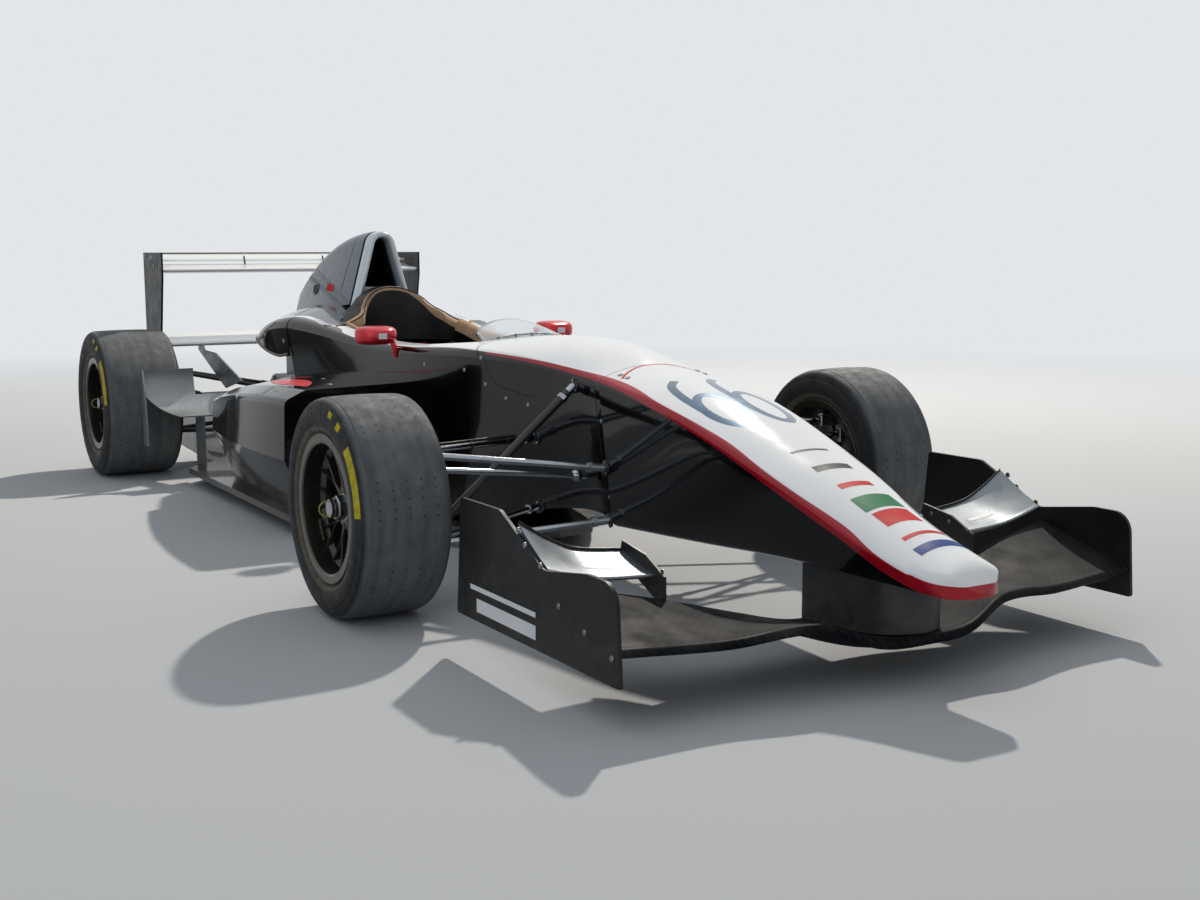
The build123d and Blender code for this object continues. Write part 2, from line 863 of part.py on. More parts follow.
def rim_barrel(rim_width):
    """The rim's barrel: two flanges, two bead seats and a shallow well."""
    half = rim_width / 2
    out = half + flange_thickness
    seat, top = bead_seat_radius, bead_seat_radius + flange_height
    wall = barrel_wall
    well = seat - well_depth
    points = [
        (seat, -half),
        (top, -half),
        (top, -out),
        (seat - wall, -out),
        (seat - wall, 4),
        (well - wall, 14),
        (well - wall, 50),
        (seat - wall, 60),
        (seat - wall, out),
        (top, out),
        (top, half),
        (seat, half),
        (seat, 58),
        (well, 48),
        (well, 16),
        (seat, 6),
    ]
    return revolve(Plane.XZ * make_face(Polyline(*points, close=True)), Axis.Z)


def spoke_outline(angle):
    """One forked spoke in the wheel's plane."""
    root, fork, end = hub_radius - 4, spoke_fork_radius, bead_seat_radius - barrel_wall + spoke_seat
    half = spoke_width / 2
    turn = radians(angle)
    spread = radians(spoke_fork_spread)

    def polar(r, a, side):
        return (r * cos(a) - side * sin(a), r * sin(a) + side * cos(a))

    stem = Polygon(
        polar(root, turn, -half - 2), polar(fork, turn, -half), polar(fork, turn, half), polar(root, turn, half + 2),
        align=None,
    )
    arms = []
    for sign in (-1, 1):
        tip = turn + sign * spread
        arms.append(
            Polygon(
                polar(fork - 6, turn, -half * 0.7),
                polar(end, tip, -half * 0.7),
                polar(end, tip, half * 0.7),
                polar(fork - 6, turn, half * 0.7),
                align=None,
            )
        )
    return stem + arms[0] + arms[1]


def make_rim(rim_width):
    """One rim with its forked spokes, hub, brake disc and centre nut."""
    face_z = rim_width / 2 - wheel_face_setback
    rim = rim_barrel(rim_width)
    spokes = spoke_outline(0)
    for k in range(1, spoke_count):
        spokes = spokes + spoke_outline(360.0 * k / spoke_count)
    rim = rim + Pos(0, 0, face_z - spoke_depth) * extrude(spokes, spoke_depth)
    hub = Pos(0, 0, face_z + 4 - hub_length / 2) * Cylinder(hub_radius, hub_length)
    nut = Pos(0, 0, face_z + 4 + nut_length / 2) * Cylinder(nut_radius, nut_length)
    bell_top = face_z + 4 - hub_length
    disc_z = -disc_setback
    bell = Pos(0, 0, (bell_top + disc_z) / 2) * Cylinder(bell_radius, abs(bell_top - disc_z) + disc_thickness)
    disc = Pos(0, 0, disc_z) * Cylinder(disc_radius, disc_thickness)
    rim = rim + hub + nut + bell + disc
    bore = Cylinder(spindle_radius + spindle_clearance, 2 * (nut_length + hub_length) + 400)
    return rim - bore


def outboard(shape, x, y, z):
    """Stand a wheel part up on the left side of the car."""
    return Pos(x, y, z) * Rot(X=-90) * shape


def front_disc_inner():
    """How far inboard of the wheel's middle the front disc reaches."""
    return disc_setback + disc_thickness / 2


def make_knuckle():
    """The left front upright with its spindle, steering arm and brake caliper."""
    x, y, z = front_axle, front_wheel_y, front_tyre_radius
    top, low = z + ball_joint_rise - 14, z - ball_joint_rise + 14
    face = y - front_disc_inner() - 6
    body = make_face(
        Polyline(
            (x - 20, low),
            (x + 20, low),
            (x + 42, z - 30),
            (x + 42, z + 30),
            (x + 20, top),
            (x - 20, top),
            (x - 42, z + 30),
            (x - 42, z - 30),
            close=True,
        )
    )
    inner = kingpin_y - 16
    piece = Plane.XZ.offset(-inner) * extrude(body, -(face - inner))
    tip = y + front_rim_width / 2 - wheel_face_setback + nut_length
    piece = piece + bar((x, face - 5, z), (x, tip, z), spindle_radius)
    arm_z = z + steering_arm_rise
    arm = Pos(x + steering_arm / 2, kingpin_y, arm_z - 6) * Box(steering_arm, 20, 12)
    eye = Pos(x + steering_arm, kingpin_y, arm_z - 6) * Cylinder(eye_radius, 12)
    piece = piece + arm + eye
    caliper = Pos(x - 108, y - disc_setback, z) * Box(62, disc_thickness + 34, 110)
    slot = Pos(x, y - disc_setback, z) * Rot(X=90) * Cylinder(disc_radius + 5, disc_thickness + 10)
    neck = Pos(x - 66, face - 6, z) * Box(60, 12, 60)
    piece = piece + (caliper - slot) + neck
    return piece


def wishbone_end(x, y, z):
    """A round eye at the outer end of a wishbone."""
    return Pos(x, y, z) * Cylinder(15, eye_height)


def make_front_wishbones(skin):
    """Upper and lower arms and the pushrod of the left front wheel."""
    x, z = front_axle, front_tyre_radius
    up, low = z + ball_joint_rise - 14, z - ball_joint_rise + 14
    reach = running_gap + eye_height / 2
    upper_eye, lower_eye = (x, kingpin_y, up + reach), (x, kingpin_y, low - reach)
    upper = wishbone_end(*upper_eye)
    upper = upper + bar(upper_eye, (x + 112, 160, 330), arm_radius) + bar(upper_eye, (x - 215, 180, 372), arm_radius)
    lower = wishbone_end(*lower_eye)
    lower = lower + bar(lower_eye, (x + 110, 110, 190), arm_radius) + bar(lower_eye, (x - 260, 130, 172), arm_radius)
    rod = bar((x, kingpin_y - 42, low - reach), (x, 160, 540), arm_radius)
    arms = upper + lower + rod
    arms = arms - skin
    return Compound(children=[s for s in solids_of(arms) if s.volume > 20000])


def make_track_rods():
    """The steering rack with a track rod at each end."""
    x = front_axle + rack_station
    rack = bar((x, -rack_half, rack_height), (x, rack_half, rack_height), rack_radius)
    eye_z = front_tyre_radius + steering_arm_rise + running_gap + track_rod_eye_height / 2
    eye = (front_axle + steering_arm, kingpin_y, eye_z)
    rod = bar((x, rack_half, rack_height), eye, track_rod_radius)
    rod = rod + Pos(*eye) * Cylinder(eye_radius, track_rod_eye_height)
    joint = Pos(x, rack_half, rack_height) * Sphere(16)
    return rack + rod + joint + mirrored(rod + joint)


def make_rear_upright():
    """The left rear upright, which carries the wheel's bearing."""
    x, y, z = rear_axle, rear_wheel_y, rear_tyre_radius
    inner, face = y - 150, y - disc_setback - disc_thickness / 2 - 6
    body = make_face(
        Polyline(
            (x - 24, z - 112),
            (x + 24, z - 112),
            (x + 46, z - 30),
            (x + 46, z + 30),
            (x + 30, z + 112),
            (x - 30, z + 112),
            (x - 46, z + 30),
            (x - 46, z - 30),
            close=True,
        )
    )
    piece = Plane.XZ.offset(-inner) * extrude(body, -(face - inner))
    return piece - bar((x, y - 300, z), (x, y, z), spindle_radius + spindle_clearance)


def make_driveshaft():
    """The left driveshaft, from the gearbox flange out through the upright to the wheel."""
    x, y, z = rear_axle, rear_wheel_y, rear_tyre_radius
    inner = 118 + running_gap
    tip = y + rear_rim_width / 2 - wheel_face_setback + nut_length
    shaft = bar((x, inner, z), (x, tip, z), spindle_radius)
    joint = bar((x, inner, z), (x, inner + 70, z), 42)
    outer_joint = bar((x, y - 225, z), (x, y - 155, z), 42)
    return shaft + joint + outer_joint


def make_rear_wishbones(gearbox):
    """Upper and lower arms and the pushrod of the left rear wheel."""
    x, y, z = rear_axle, rear_wheel_y - 150, rear_tyre_radius
    up, low = (x, y + 20, z + 112 + 15), (x, y + 20, z - 112 - 15)
    upper = Pos(*up) * Cylinder(15, 30)
    upper = upper + bar(up, (x + 190, 60, 300), arm_radius) + bar(up, (x - 150, 60, 310), arm_radius)
    lower = Pos(*low) * Cylinder(15, 30)
    lower = lower + bar(low, (x + 230, 60, 165), arm_radius) + bar(low, (x - 140, 60, 195), arm_radius)
    arms = upper + lower - gearbox
    keep = [s for s in solids_of(arms) if s.volume > 20000]
    return Compound(children=keep)


skin = tub_skin()
monocoque = make_monocoque(skin)
nose = make_nose()
main_plane = make_main_plane()
cover_skin = body_loft(cover_rows)
roll_hoop = make_roll_hoop(skin)
sidepod = make_sidepod(skin, cover_skin)
beam = straight_wing(beam_wing, rear_wing_half_span)
gearbox = make_gearbox(beam)

front_tyre = outboard(
    make_tyre(front_tyre_radius, front_tyre_section, front_rim_width), front_axle, front_wheel_y, front_tyre_radius
)
rear_tyre = outboard(
    make_tyre(rear_tyre_radius, rear_tyre_section, rear_rim_width), rear_axle, rear_wheel_y, rear_tyre_radius
)
front_rim = outboard(make_rim(front_rim_width), front_axle, front_wheel_y, front_tyre_radius)
rear_rim = outboard(make_rim(rear_rim_width), rear_axle, rear_wheel_y, rear_tyre_radius)
knuckle = make_knuckle()
driveshaft = make_driveshaft()

nodes = {
    "monocoque": monocoque,
    "nose_cone": nose,
    "nose_pylon": make_pylon(nose, main_plane),
    "front_wing_main": main_plane,
    "front_flaps": pair(make_flap()),
    "flap_supports": pair(make_flap_support(main_plane)),
    "front_endplates": pair(make_front_endplate()),
    "windscreen": make_windscreen(skin),
    "headrest": make_headrest(skin),
    "seat": make_seat(),
    "roll_hoop": roll_hoop,
    "hoop_cowl": make_cowl(roll_hoop, cover_skin),
    "engine_cover": make_engine_cover(cover_skin),
    "sidepod_left": sidepod,
    "sidepod_right": mirrored(sidepod),
    "radiators": pair(make_radiator()),
    "floor": make_floor(),
    "tyre_ramps": pair(make_tyre_ramp()),
    "wing_stays": pair(make_stay(sidepod, beam)),
    "beam_wing": beam,
    "rear_wing_main": straight_wing(rear_main, rear_wing_half_span),
    "rear_wing_flap": straight_wing(rear_flap, rear_wing_half_span),
    "rear_endplates": pair(make_rear_endplate()),
    "engine": make_engine(),
    "gearbox": gearbox,
    "tail_light": make_tail_light(),
    "mirrors": pair(make_mirror(skin)),
    "front_wishbones": pair(make_front_wishbones(skin)),
    "rear_wishbones": pair(make_rear_wishbones(gearbox)),
    "rear_uprights": pair(make_rear_upright()),
    "track_rods": make_track_rods(),
    "steering_wheel": make_steering_wheel(),
}
for side, turned in (("left", lambda s: s), ("right", mirrored)):
    nodes["knuckle_" + side] = turned(knuckle)
    nodes["front_rim_" + side] = turned(front_rim)
    nodes["front_tyre_" + side] = turned(front_tyre)
    nodes["rear_rim_" + side] = turned(rear_rim)
    nodes["rear_tyre_" + side] = turned(rear_tyre)
    nodes["driveshaft_" + side] = turned(driveshaft)

os.makedirs("parts", exist_ok=True)
for name, shape in nodes.items():
    export_step(shape, "parts/" + name + ".step")
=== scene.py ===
"""Dresses the open wheel racing car: finishes, bodywork details, wheels, cockpit, light and camera.

Every place is in metres in the frame of the construction model: X forward, Y to the car's
left, Z up, with the origin on the ground half way along and across the car.
"""
from __future__ import annotations

import json
import logging
import math
from dataclasses import dataclass, field
from enum import Enum

import bmesh
import bpy
from mathutils import Matrix, Vector
from mathutils.bvhtree import BVHTree

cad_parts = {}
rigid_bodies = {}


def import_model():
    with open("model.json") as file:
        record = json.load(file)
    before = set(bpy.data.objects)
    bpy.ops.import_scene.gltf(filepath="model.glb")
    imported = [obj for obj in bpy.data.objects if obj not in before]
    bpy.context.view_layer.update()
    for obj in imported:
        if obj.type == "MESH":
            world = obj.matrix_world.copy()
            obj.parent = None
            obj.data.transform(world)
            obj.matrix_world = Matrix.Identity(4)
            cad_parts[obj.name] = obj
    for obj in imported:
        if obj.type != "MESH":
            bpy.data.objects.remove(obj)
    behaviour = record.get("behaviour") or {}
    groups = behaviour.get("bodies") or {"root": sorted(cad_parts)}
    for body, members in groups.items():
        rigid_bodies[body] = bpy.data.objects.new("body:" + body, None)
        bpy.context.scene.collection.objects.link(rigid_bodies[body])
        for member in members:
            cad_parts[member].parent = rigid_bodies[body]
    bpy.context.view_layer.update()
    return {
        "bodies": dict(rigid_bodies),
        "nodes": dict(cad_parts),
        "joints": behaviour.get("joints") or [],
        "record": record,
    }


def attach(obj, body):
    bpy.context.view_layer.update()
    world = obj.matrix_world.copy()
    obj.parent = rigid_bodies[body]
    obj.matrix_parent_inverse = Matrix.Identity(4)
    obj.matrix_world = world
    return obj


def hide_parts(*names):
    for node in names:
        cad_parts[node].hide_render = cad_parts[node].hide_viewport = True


log = logging.getLogger("racing_car")

# One millimetre, and where the axles stand along the car, in metres
MM = 0.001
FRONT_AXLE = 0.835
REAR_AXLE = -1.810
# The body that carries what does not move
CHASSIS = "chassis"
# Colours that several finishes share
DUST = "8d8478"
BLACK = "000000"
# A distance from the origin that lies outside the car, where lines to its skin start
OUTSIDE = 1.2
DOWN = (0.0, 0.0, -1.0)
# The right side and the left side, as signs of Y
SIGNS = (-1.0, 1.0)

Point = tuple[float, float, float]
Flat = tuple[float, float]
Names = tuple[str, ...]
Rods = tuple[tuple[Point, Point], ...]
Table = tuple[tuple[float, ...], ...]
Socket = bpy.types.NodeSocket
Tree = bpy.types.NodeTree


# Node and colour helpers


def linear(hex_colour: str, alpha: float = 1.0) -> tuple[float, float, float, float]:
    """Turn an sRGB hex colour into linear values.

    Args:
        hex_colour: Six hex digits.
        alpha: The fourth value.

    Returns:
        Red, green, blue and alpha, linear.
    """
    values = [int(hex_colour[i : i + 2], 16) / 255 for i in (0, 2, 4)]
    out = [v / 12.92 if v <= 0.04045 else ((v + 0.055) / 1.055) ** 2.4 for v in values]
    return out[0], out[1], out[2], alpha


def find_socket(sockets: bpy.types.bpy_prop_collection, key: str | int) -> Socket:
    """The socket with a number, or the enabled one with a name."""
    return sockets[key] if isinstance(key, int) else next(s for s in sockets if s.name == key and s.enabled)


def add(tree: Tree, kind: str, inputs: dict | None = None, **settings: object) -> bpy.types.Node:
    """Add one node with its settings, values and links.

    Args:
        tree: The node tree that gets the node.
        kind: The node's type name.
        inputs: Socket name or number to a value, or to the output socket to link from.
        settings: The node's own properties.

    Returns:
        The new node.
    """
    node = tree.nodes.new(kind)
    for key, value in settings.items():
        setattr(node, key, value)
    for key, value in (inputs or {}).items():
        socket = find_socket(node.inputs, key)
        if isinstance(value, Socket):
            tree.links.new(value, socket)
        else:
            socket.default_value = value
    return node


@dataclass
class Paintbox:
    """The steps that the finishes share, working in one material's node tree."""

    tree: Tree

    def place(self) -> Socket:
        """The point on the car, in metres, which rides with the piece."""
        return add(self.tree, "ShaderNodeTexCoord").outputs["Object"]

    def axis(self, letter: str) -> Socket:
        """One coordinate of the point on the car."""
        return add(self.tree, "ShaderNodeSeparateXYZ", {0: self.place()}).outputs[letter]

    def math(self, operation: str, *values: Socket | float) -> Socket:
        """One arithmetic step."""
        return add(self.tree, "ShaderNodeMath", dict(enumerate(values)), operation=operation).outputs[0]

    def plus(self, one: Socket, other: Socket | float) -> Socket:
        """The sum of two values."""
        return self.math("ADD", one, other)

    def minus(self, one: Socket, other: Socket | float) -> Socket:
        """One value less another."""
        return self.math("SUBTRACT", one, other)

    def times(self, *values: Socket | float) -> Socket:
        """The product of several values.

        Args:
            values: The values.

        Returns:
            Their product.
        """
        out = values[0]
        for value in values[1:]:
            out = self.math("MULTIPLY", out, value)
        return out

    def cell(self, value: Socket, step: float) -> Socket:
        """How far a value is from the middle of its cell, in a row of equal cells."""
        return self.minus(self.math("FLOORED_MODULO", value, step), step * 0.5)

    def length(self, one: Socket, other: Socket) -> Socket:
        """The length of a flat arrow with these two parts."""
        return self.math("SQRT", self.plus(self.times(one, one), self.times(other, other)))

    def ramp(self, value: Socket, low: float, high: float, a: float = 0.0, b: float = 1.0) -> Socket:
        """A value mapped from one range to another, held at its ends."""
        links = {0: value, 1: low, 2: high, 3: a, 4: b}
        return add(self.tree, "ShaderNodeMapRange", links).outputs["Result"]

    def noise(self, size_mm: float, detail: float = 3.0, stretch: Point = (1.0, 1.0, 1.0)) -> Socket:
        """A soft noise whose features are about the given size.

        Args:
            size_mm: Size of a feature.
            detail: How many finer layers it has.
            stretch: How often it repeats along X, Y and Z, against the size.

        Returns:
            The noise from 0 to 1.
        """
        place = add(self.tree, "ShaderNodeVectorMath", {0: self.place(), 1: stretch}, operation="MULTIPLY")
        links = {"Vector": place.outputs[0], "Scale": 1.0 / (size_mm * MM), "Detail": detail}
        return add(self.tree, "ShaderNodeTexNoise", links).outputs["Fac"]

    def colour(self, hex_colour: str) -> Socket:
        """One colour as a socket.

        Args:
            hex_colour: Six hex digits.

        Returns:
            The socket that gives it.
        """
        node = add(self.tree, "ShaderNodeRGB")
        node.outputs[0].default_value = linear(hex_colour)
        return node.outputs[0]

    def mix(self, factor: Socket, low: Socket, high: Socket | tuple) -> Socket:
        """Two colours mixed by a factor."""
        node = add(self.tree, "ShaderNodeMix", {"Factor": factor, "A": low, "B": high}, data_type="RGBA")
        return next(s for s in node.outputs if s.enabled)

    def curve(self, value: Socket, rows: tuple[Flat, ...], top: float) -> Socket:
        """A smooth line through a table of places and heights.

        Args:
            value: Where along the table, in metres.
            rows: Place and height of each point, in metres.
            top: The largest height that the line may have.

        Returns:
            The height at that place.
        """
        first, last = rows[0][0], rows[-1][0]
        node = add(self.tree, "ShaderNodeFloatCurve", {"Value": self.ramp(value, first, last)})
        line = node.mapping.curves[0]
        places = [((x - first) / (last - first), z / top) for x, z in rows]
        line.points[0].location = places[0]
        line.points[1].location = places[-1]
        for x, z in places[1:-1]:
            line.points.new(x, z)
        node.mapping.update()
        return self.times(node.outputs[0], top)


# Finishes


@dataclass(frozen=True)
class Finish:
    """A plain surface with the grain, mottling and dust of how it was made.

    The grain is a fine bump whose size is given in millimetres, and the mottling is a slow
    change of tone over a hand's breadth.
    """

    name: str
    colour: str
    roughness: float
    metallic: float = 0.0
    coat: float = 0.0
    coat_roughness: float = 0.04
    specular: float = 0.5
    grain_mm: float = 1.0
    grain_depth: float = 0.05
    mottle: float = 0.08
    mottle_mm: float = 90.0
    dust: float = 0.0
    dust_height: float = 0.25

    def tone(self, box: Paintbox) -> Socket:
        """The base colour before mottling and dust."""
        return box.colour(self.colour)

    def bump(self, box: Paintbox) -> Socket:
        """The height that gives the surface its grain."""
        return box.noise(self.grain_mm, 2.0)

    def roughen(self, box: Paintbox) -> Socket:
        """The roughness, a little uneven."""
        patches = box.noise(self.mottle_mm * 0.7)
        return box.ramp(patches, 0.3, 0.7, self.roughness * 0.85, self.roughness * 1.2)

    def extra(self, box: Paintbox, shader: bpy.types.Node) -> None:
        """Anything more that a finish sets on its shader."""

    def build(self) -> bpy.types.Material:
        """Make the material, or give back the one already made.

        Returns:
            The material with this finish.
        """
        made = bpy.data.materials.get(self.name)
        if made:
            return made
        material = bpy.data.materials.new(self.name)
        material.use_nodes = True
        box = Paintbox(material.node_tree)
        shader = box.tree.nodes["Principled BSDF"]
        shader.inputs["Metallic"].default_value = self.metallic
        shader.inputs["Coat Weight"].default_value = self.coat
        shader.inputs["Coat Roughness"].default_value = self.coat_roughness
        shader.inputs["Specular IOR Level"].default_value = self.specular
        mottle = box.ramp(box.noise(self.mottle_mm), 0.3, 0.7, 0.0, self.mottle)
        tone = box.mix(mottle, self.tone(box), linear(BLACK))
        rough = self.roughen(box)
        if self.dust:
            low = box.ramp(box.axis("Z"), self.dust_height, 0.0, 0.0, self.dust)
            dusty = box.times(low, box.ramp(box.noise(30.0, 6.0), 0.35, 0.65, 0.3, 1.0))
            tone = box.mix(dusty, tone, linear(DUST))
            rough = box.plus(rough, box.times(dusty, 0.6))
        box.tree.links.new(tone, shader.inputs["Base Color"])
        box.tree.links.new(rough, shader.inputs["Roughness"])
        links = {"Height": self.bump(box), "Strength": self.grain_depth, "Distance": self.grain_mm * MM}
        normal = add(box.tree, "ShaderNodeBump", links).outputs["Normal"]
        box.tree.links.new(normal, shader.inputs["Normal"])
        self.extra(box, shader)
        return material


@dataclass(frozen=True)
class Livery(Finish):
    """Gloss paint: white above a swept line, a red band along it in front, and black below.

    Behind the head surround the white shrinks to a rim, and the top inside it is dark slate, painted shade
    standing for silver paint in shadow. The line is a table of places along the car and heights, in metres.
    """

    white: str = "f2f4f6"
    red: str = "b01325"
    slate: str = "3f4c57"
    gap: str = "08090a"
    border: tuple[Flat, ...] = ()
    highest: float = 0.8
    band_rear: float = 0.005
    band_front: float = 0.034
    band_start: float = FRONT_AXLE - 0.424
    band_end: float = FRONT_AXLE + 1.25
    slate_end: float = FRONT_AXLE - 1.490
    rim_rear: float = 0.010
    rim_front: float = 0.0035
    joint: float = FRONT_AXLE + 0.123
    joint_half: float = 0.0008
    edge_blur: float = 0.0008

    def tone(self, box: Paintbox) -> Socket:
        """White over red over black, split at heights that follow the swept line.

        Args:
            box: The material's tree.

        Returns:
            The base colour.
        """
        x = box.axis("X")
        over = box.minus(box.axis("Z"), box.curve(x, self.border, self.highest))
        band = box.ramp(x, self.band_start, self.band_end, self.band_rear, self.band_front)
        band = box.times(band, box.math("GREATER_THAN", x, self.band_start))
        low = box.ramp(box.plus(over, band), 0.0, self.edge_blur)
        red = box.mix(low, box.colour(self.colour), box.colour(self.red))
        tone = box.mix(box.ramp(over, 0.0, self.edge_blur), red, box.colour(self.white))
        # Inside the rim behind the head surround: dark slate, painted shade of silver paint in shadow
        rim = box.ramp(x, self.slate_end - 0.57, self.slate_end - 0.30, self.rim_rear, self.rim_front)
        inside = box.times(box.math("GREATER_THAN", over, rim), box.math("LESS_THAN", x, self.slate_end))
        tone = box.mix(inside, tone, box.colour(self.slate))
        near = box.math("ABSOLUTE", box.minus(x, self.joint))
        return box.mix(box.ramp(near, 2 * self.joint_half, self.joint_half), tone, linear(self.gap))


@dataclass(frozen=True)
class Weave(Finish):
    """Carbon laminate: a two by two twill under clear resin.

    The tows are 2 mm wide in the real cloth, and drawn coarser where the render is too small.
    """

    light: str = "4a4f55"
    tow_mm: float = 6.0
    stain: float = 0.0
    stain_colour: str = "8a8a86"

    def twill(self, box: Paintbox) -> Socket:
        """A diagonal stripe that steps over two tows and under two.

        Args:
            box: The material's tree.

        Returns:
            One on a light tow and nothing on a dark one.
        """
        tows = 1.0 / (self.tow_mm * MM)
        row = box.math("FLOOR", box.times(box.axis("X"), tows))
        other = box.math("FLOOR", box.times(box.plus(box.axis("Y"), box.axis("Z")), tows))
        return box.math("LESS_THAN", box.math("FLOORED_MODULO", box.plus(row, other), 4.0), 2.0)

    def tone(self, box: Paintbox) -> Socket:
        """Dark and light tows, with dried stains where the piece is worn.

        Args:
            box: The material's tree.

        Returns:
            The base colour.
        """
        tone = box.mix(self.twill(box), box.colour(self.colour), box.colour(self.light))
        if not self.stain:
            return tone
        blot = box.ramp(box.noise(140.0, 8.0), 0.42, 0.72, 0.0, self.stain)
        return box.mix(blot, tone, box.colour(self.stain_colour))

    def bump(self, box: Paintbox) -> Socket:
        """The tows stand a little proud of each other."""
        return self.twill(box)


@dataclass(frozen=True)
class Slick(Finish):
    """Slick tyre rubber: a scrubbed grey tread with wear holes, and a dark moulded sidewall.

    The centre is the wheel's, the reach its radius, all in metres. Each bar of paint has its
    outer and inner place below the tread, and its start and end round the axle in radians.
    """

    centre: Point = (0.0, 0.0, 0.0)
    reach: float = 0.27
    half_tread: float = 0.089
    tread: str = "505356"
    scrubbed: str = "7d8082"
    tan: str = "6f6657"
    bead: Flat = (0.178, 0.199)
    bar: str = "c8b820"
    bar_middle: float = 23.5
    bars: tuple[tuple[float, float, float, float], ...] = (
        (0.041, 0.019, -0.35, 0.35), (0.034, 0.018, 0.59, 0.67), (0.032, 0.018, 0.81, 0.90),
    )
    hole: float = 0.0021
    hole_turn: float = math.radians(4.6)

    def polar(self, box: Paintbox) -> tuple[Socket, Socket, Socket]:
        """Distance from the axle, angle round it and distance along it."""
        x, along, z = (box.minus(box.axis(letter), self.centre[k]) for k, letter in enumerate("XYZ"))
        return box.length(x, z), box.math("ARCTAN2", z, x), along

    def between(self, box: Paintbox, value: Socket, low: float, high: float, soft: float) -> Socket:
        """One inside a range of a value, with soft ends."""
        rise = box.ramp(value, low - soft, low + soft)
        return box.times(rise, box.ramp(value, high - soft, high + soft, 1.0, 0.0))

    def holes(self, box: Paintbox, angle: Socket, along: Socket) -> Socket:
        """Wear holes: five columns across the tread, in groups round it.

        Args:
            box: The material's tree.
            angle: The angle round the axle.
            along: The distance along the axle.

        Returns:
            One in a hole. The real ones are 2 mm wide and drawn at 4 mm so that they show.
        """
        column_step = self.half_tread * 0.4
        across = box.cell(box.plus(along, column_step * 0.5), column_step)
        round_way = box.times(box.cell(angle, self.hole_turn), self.reach)
        dot = box.math("LESS_THAN", box.length(across, round_way), self.hole)
        turn = box.math("FLOORED_MODULO", angle, self.hole_turn * 10.0)
        group = box.math("LESS_THAN", turn, self.hole_turn * 5.0)
        inside = box.math("LESS_THAN", box.math("ABSOLUTE", along), self.half_tread * 0.98)
        return box.times(dot, group, inside)

    def tone(self, box: Paintbox) -> Socket:
        """Scrubbed tread, dark sidewall, dusty bead, plain bars of paint, and near black wear holes whose
        dark is painted shade in the pits.

        Args:
            box: The material's tree.

        Returns:
            The base colour.
        """
        radius, angle, along = self.polar(box)
        on_tread = box.ramp(radius, self.reach - 0.012, self.reach - 0.005)
        smear = box.ramp(box.noise(60.0, 5.0, (0.35, 2.0, 0.35)), 0.3, 0.75, 0.0, 0.55)
        tread = box.mix(smear, box.colour(self.tread), box.colour(self.scrubbed))
        tone = box.mix(on_tread, box.colour(self.colour), tread)
        wear = box.ramp(box.noise(18.0, 6.0), 0.4, 0.7)
        bead = self.between(box, radius, *self.bead, 0.004)
        tone = box.mix(box.times(bead, box.ramp(wear, 0.0, 1.0, 0.45, 0.85)), tone, box.colour(self.tan))
        middle, outward = math.radians(self.bar_middle), math.copysign(1.0, self.centre[1])
        outside = box.math("GREATER_THAN", box.times(along, outward), 0.0)
        for low, high, start, end in self.bars:
            ring = self.between(box, radius, self.reach - low, self.reach - high, 0.0006)
            arc = self.between(box, angle, middle + start, middle + end, 0.003)
            scuffed = box.times(ring, arc, outside, box.ramp(wear, 0.0, 1.0, 0.95, 0.55))
            tone = box.mix(scuffed, tone, box.colour(self.bar))
        # Wear holes in near black: painted shade inside the pits
        return box.mix(self.holes(box, angle, along), tone, linear("060606"))

    def bump(self, box: Paintbox) -> Socket:
        """Scrub marks round the tread, and the wear holes as pits.

        Args:
            box: The material's tree.

        Returns:
            The height.
        """
        _, angle, along = self.polar(box)
        pits = box.times(self.holes(box, angle, along), -3.0)
        return box.plus(box.noise(self.grain_mm, 4.0, (0.4, 1.6, 0.4)), pits)


@dataclass(frozen=True)
class Brushed(Finish):
    """Metal sheet or tube with fine lines from the brush or the lathe along one way."""

    stretch: Point = (0.15, 2.0, 0.15)

    def bump(self, box: Paintbox) -> Socket:
        """Fine lines along one way."""
        return box.noise(self.grain_mm, 3.0, self.stretch)


@dataclass(frozen=True)
class Clear(Finish):
    """A clear sheet that lets the light through, and bends it as polycarbonate does."""

    transmission: float = 0.92
    bends: float = 1.58

    def extra(self, box: Paintbox, shader: bpy.types.Node) -> None:
        """Let light through."""
        shader.inputs["Transmission Weight"].default_value = self.transmission
        shader.inputs["IOR"].default_value = self.bends


@dataclass(frozen=True)
class Glow(Finish):
    """A lamp lens with rows of small bulbs behind it."""

    pitch_mm: float = 12.0
    bright: str = "e8404a"

    def tone(self, box: Paintbox) -> Socket:
        """Brighter red where a bulb sits behind the lens.

        Args:
            box: The material's tree.

        Returns:
            The base colour.
        """
        step = self.pitch_mm * MM
        away = box.length(box.cell(box.axis("Y"), step), box.cell(box.axis("Z"), step))
        dot = box.ramp(away, step * 0.25, step * 0.38, 1.0, 0.0)
        return box.mix(dot, box.colour(self.colour), box.colour(self.bright))


# Finishes of the car's own pieces

NOSE_LINE = (
    (-1.700, 0.505), (-1.465, 0.550), (-1.350, 0.577), (-1.232, 0.602), (-1.100, 0.633), (-0.960, 0.648),
    (-0.840, 0.6405), (-0.745, 0.6285), (-0.645, 0.6195), (-0.550, 0.605), (-0.430, 0.594), (-0.105, 0.587),
    (0.266, 0.600), (0.435, 0.597), (0.635, 0.590), (0.835, 0.575), (1.035, 0.555), (1.235, 0.518),
    (1.435, 0.468), (1.635, 0.398), (1.835, 0.325), (2.035, 0.252), (2.135, 0.238),
)

# Two part polyurethane sprayed over carbon and polished: deep gloss, faint orange peel, dust low down
BODY_PAINT = Livery(
    "body_paint", "08090c", 0.12, coat=0.5, specular=0.1, grain_mm=2.5, grain_depth=0.02, mottle=0.04,
    dust=0.30, border=NOSE_LINE,
)
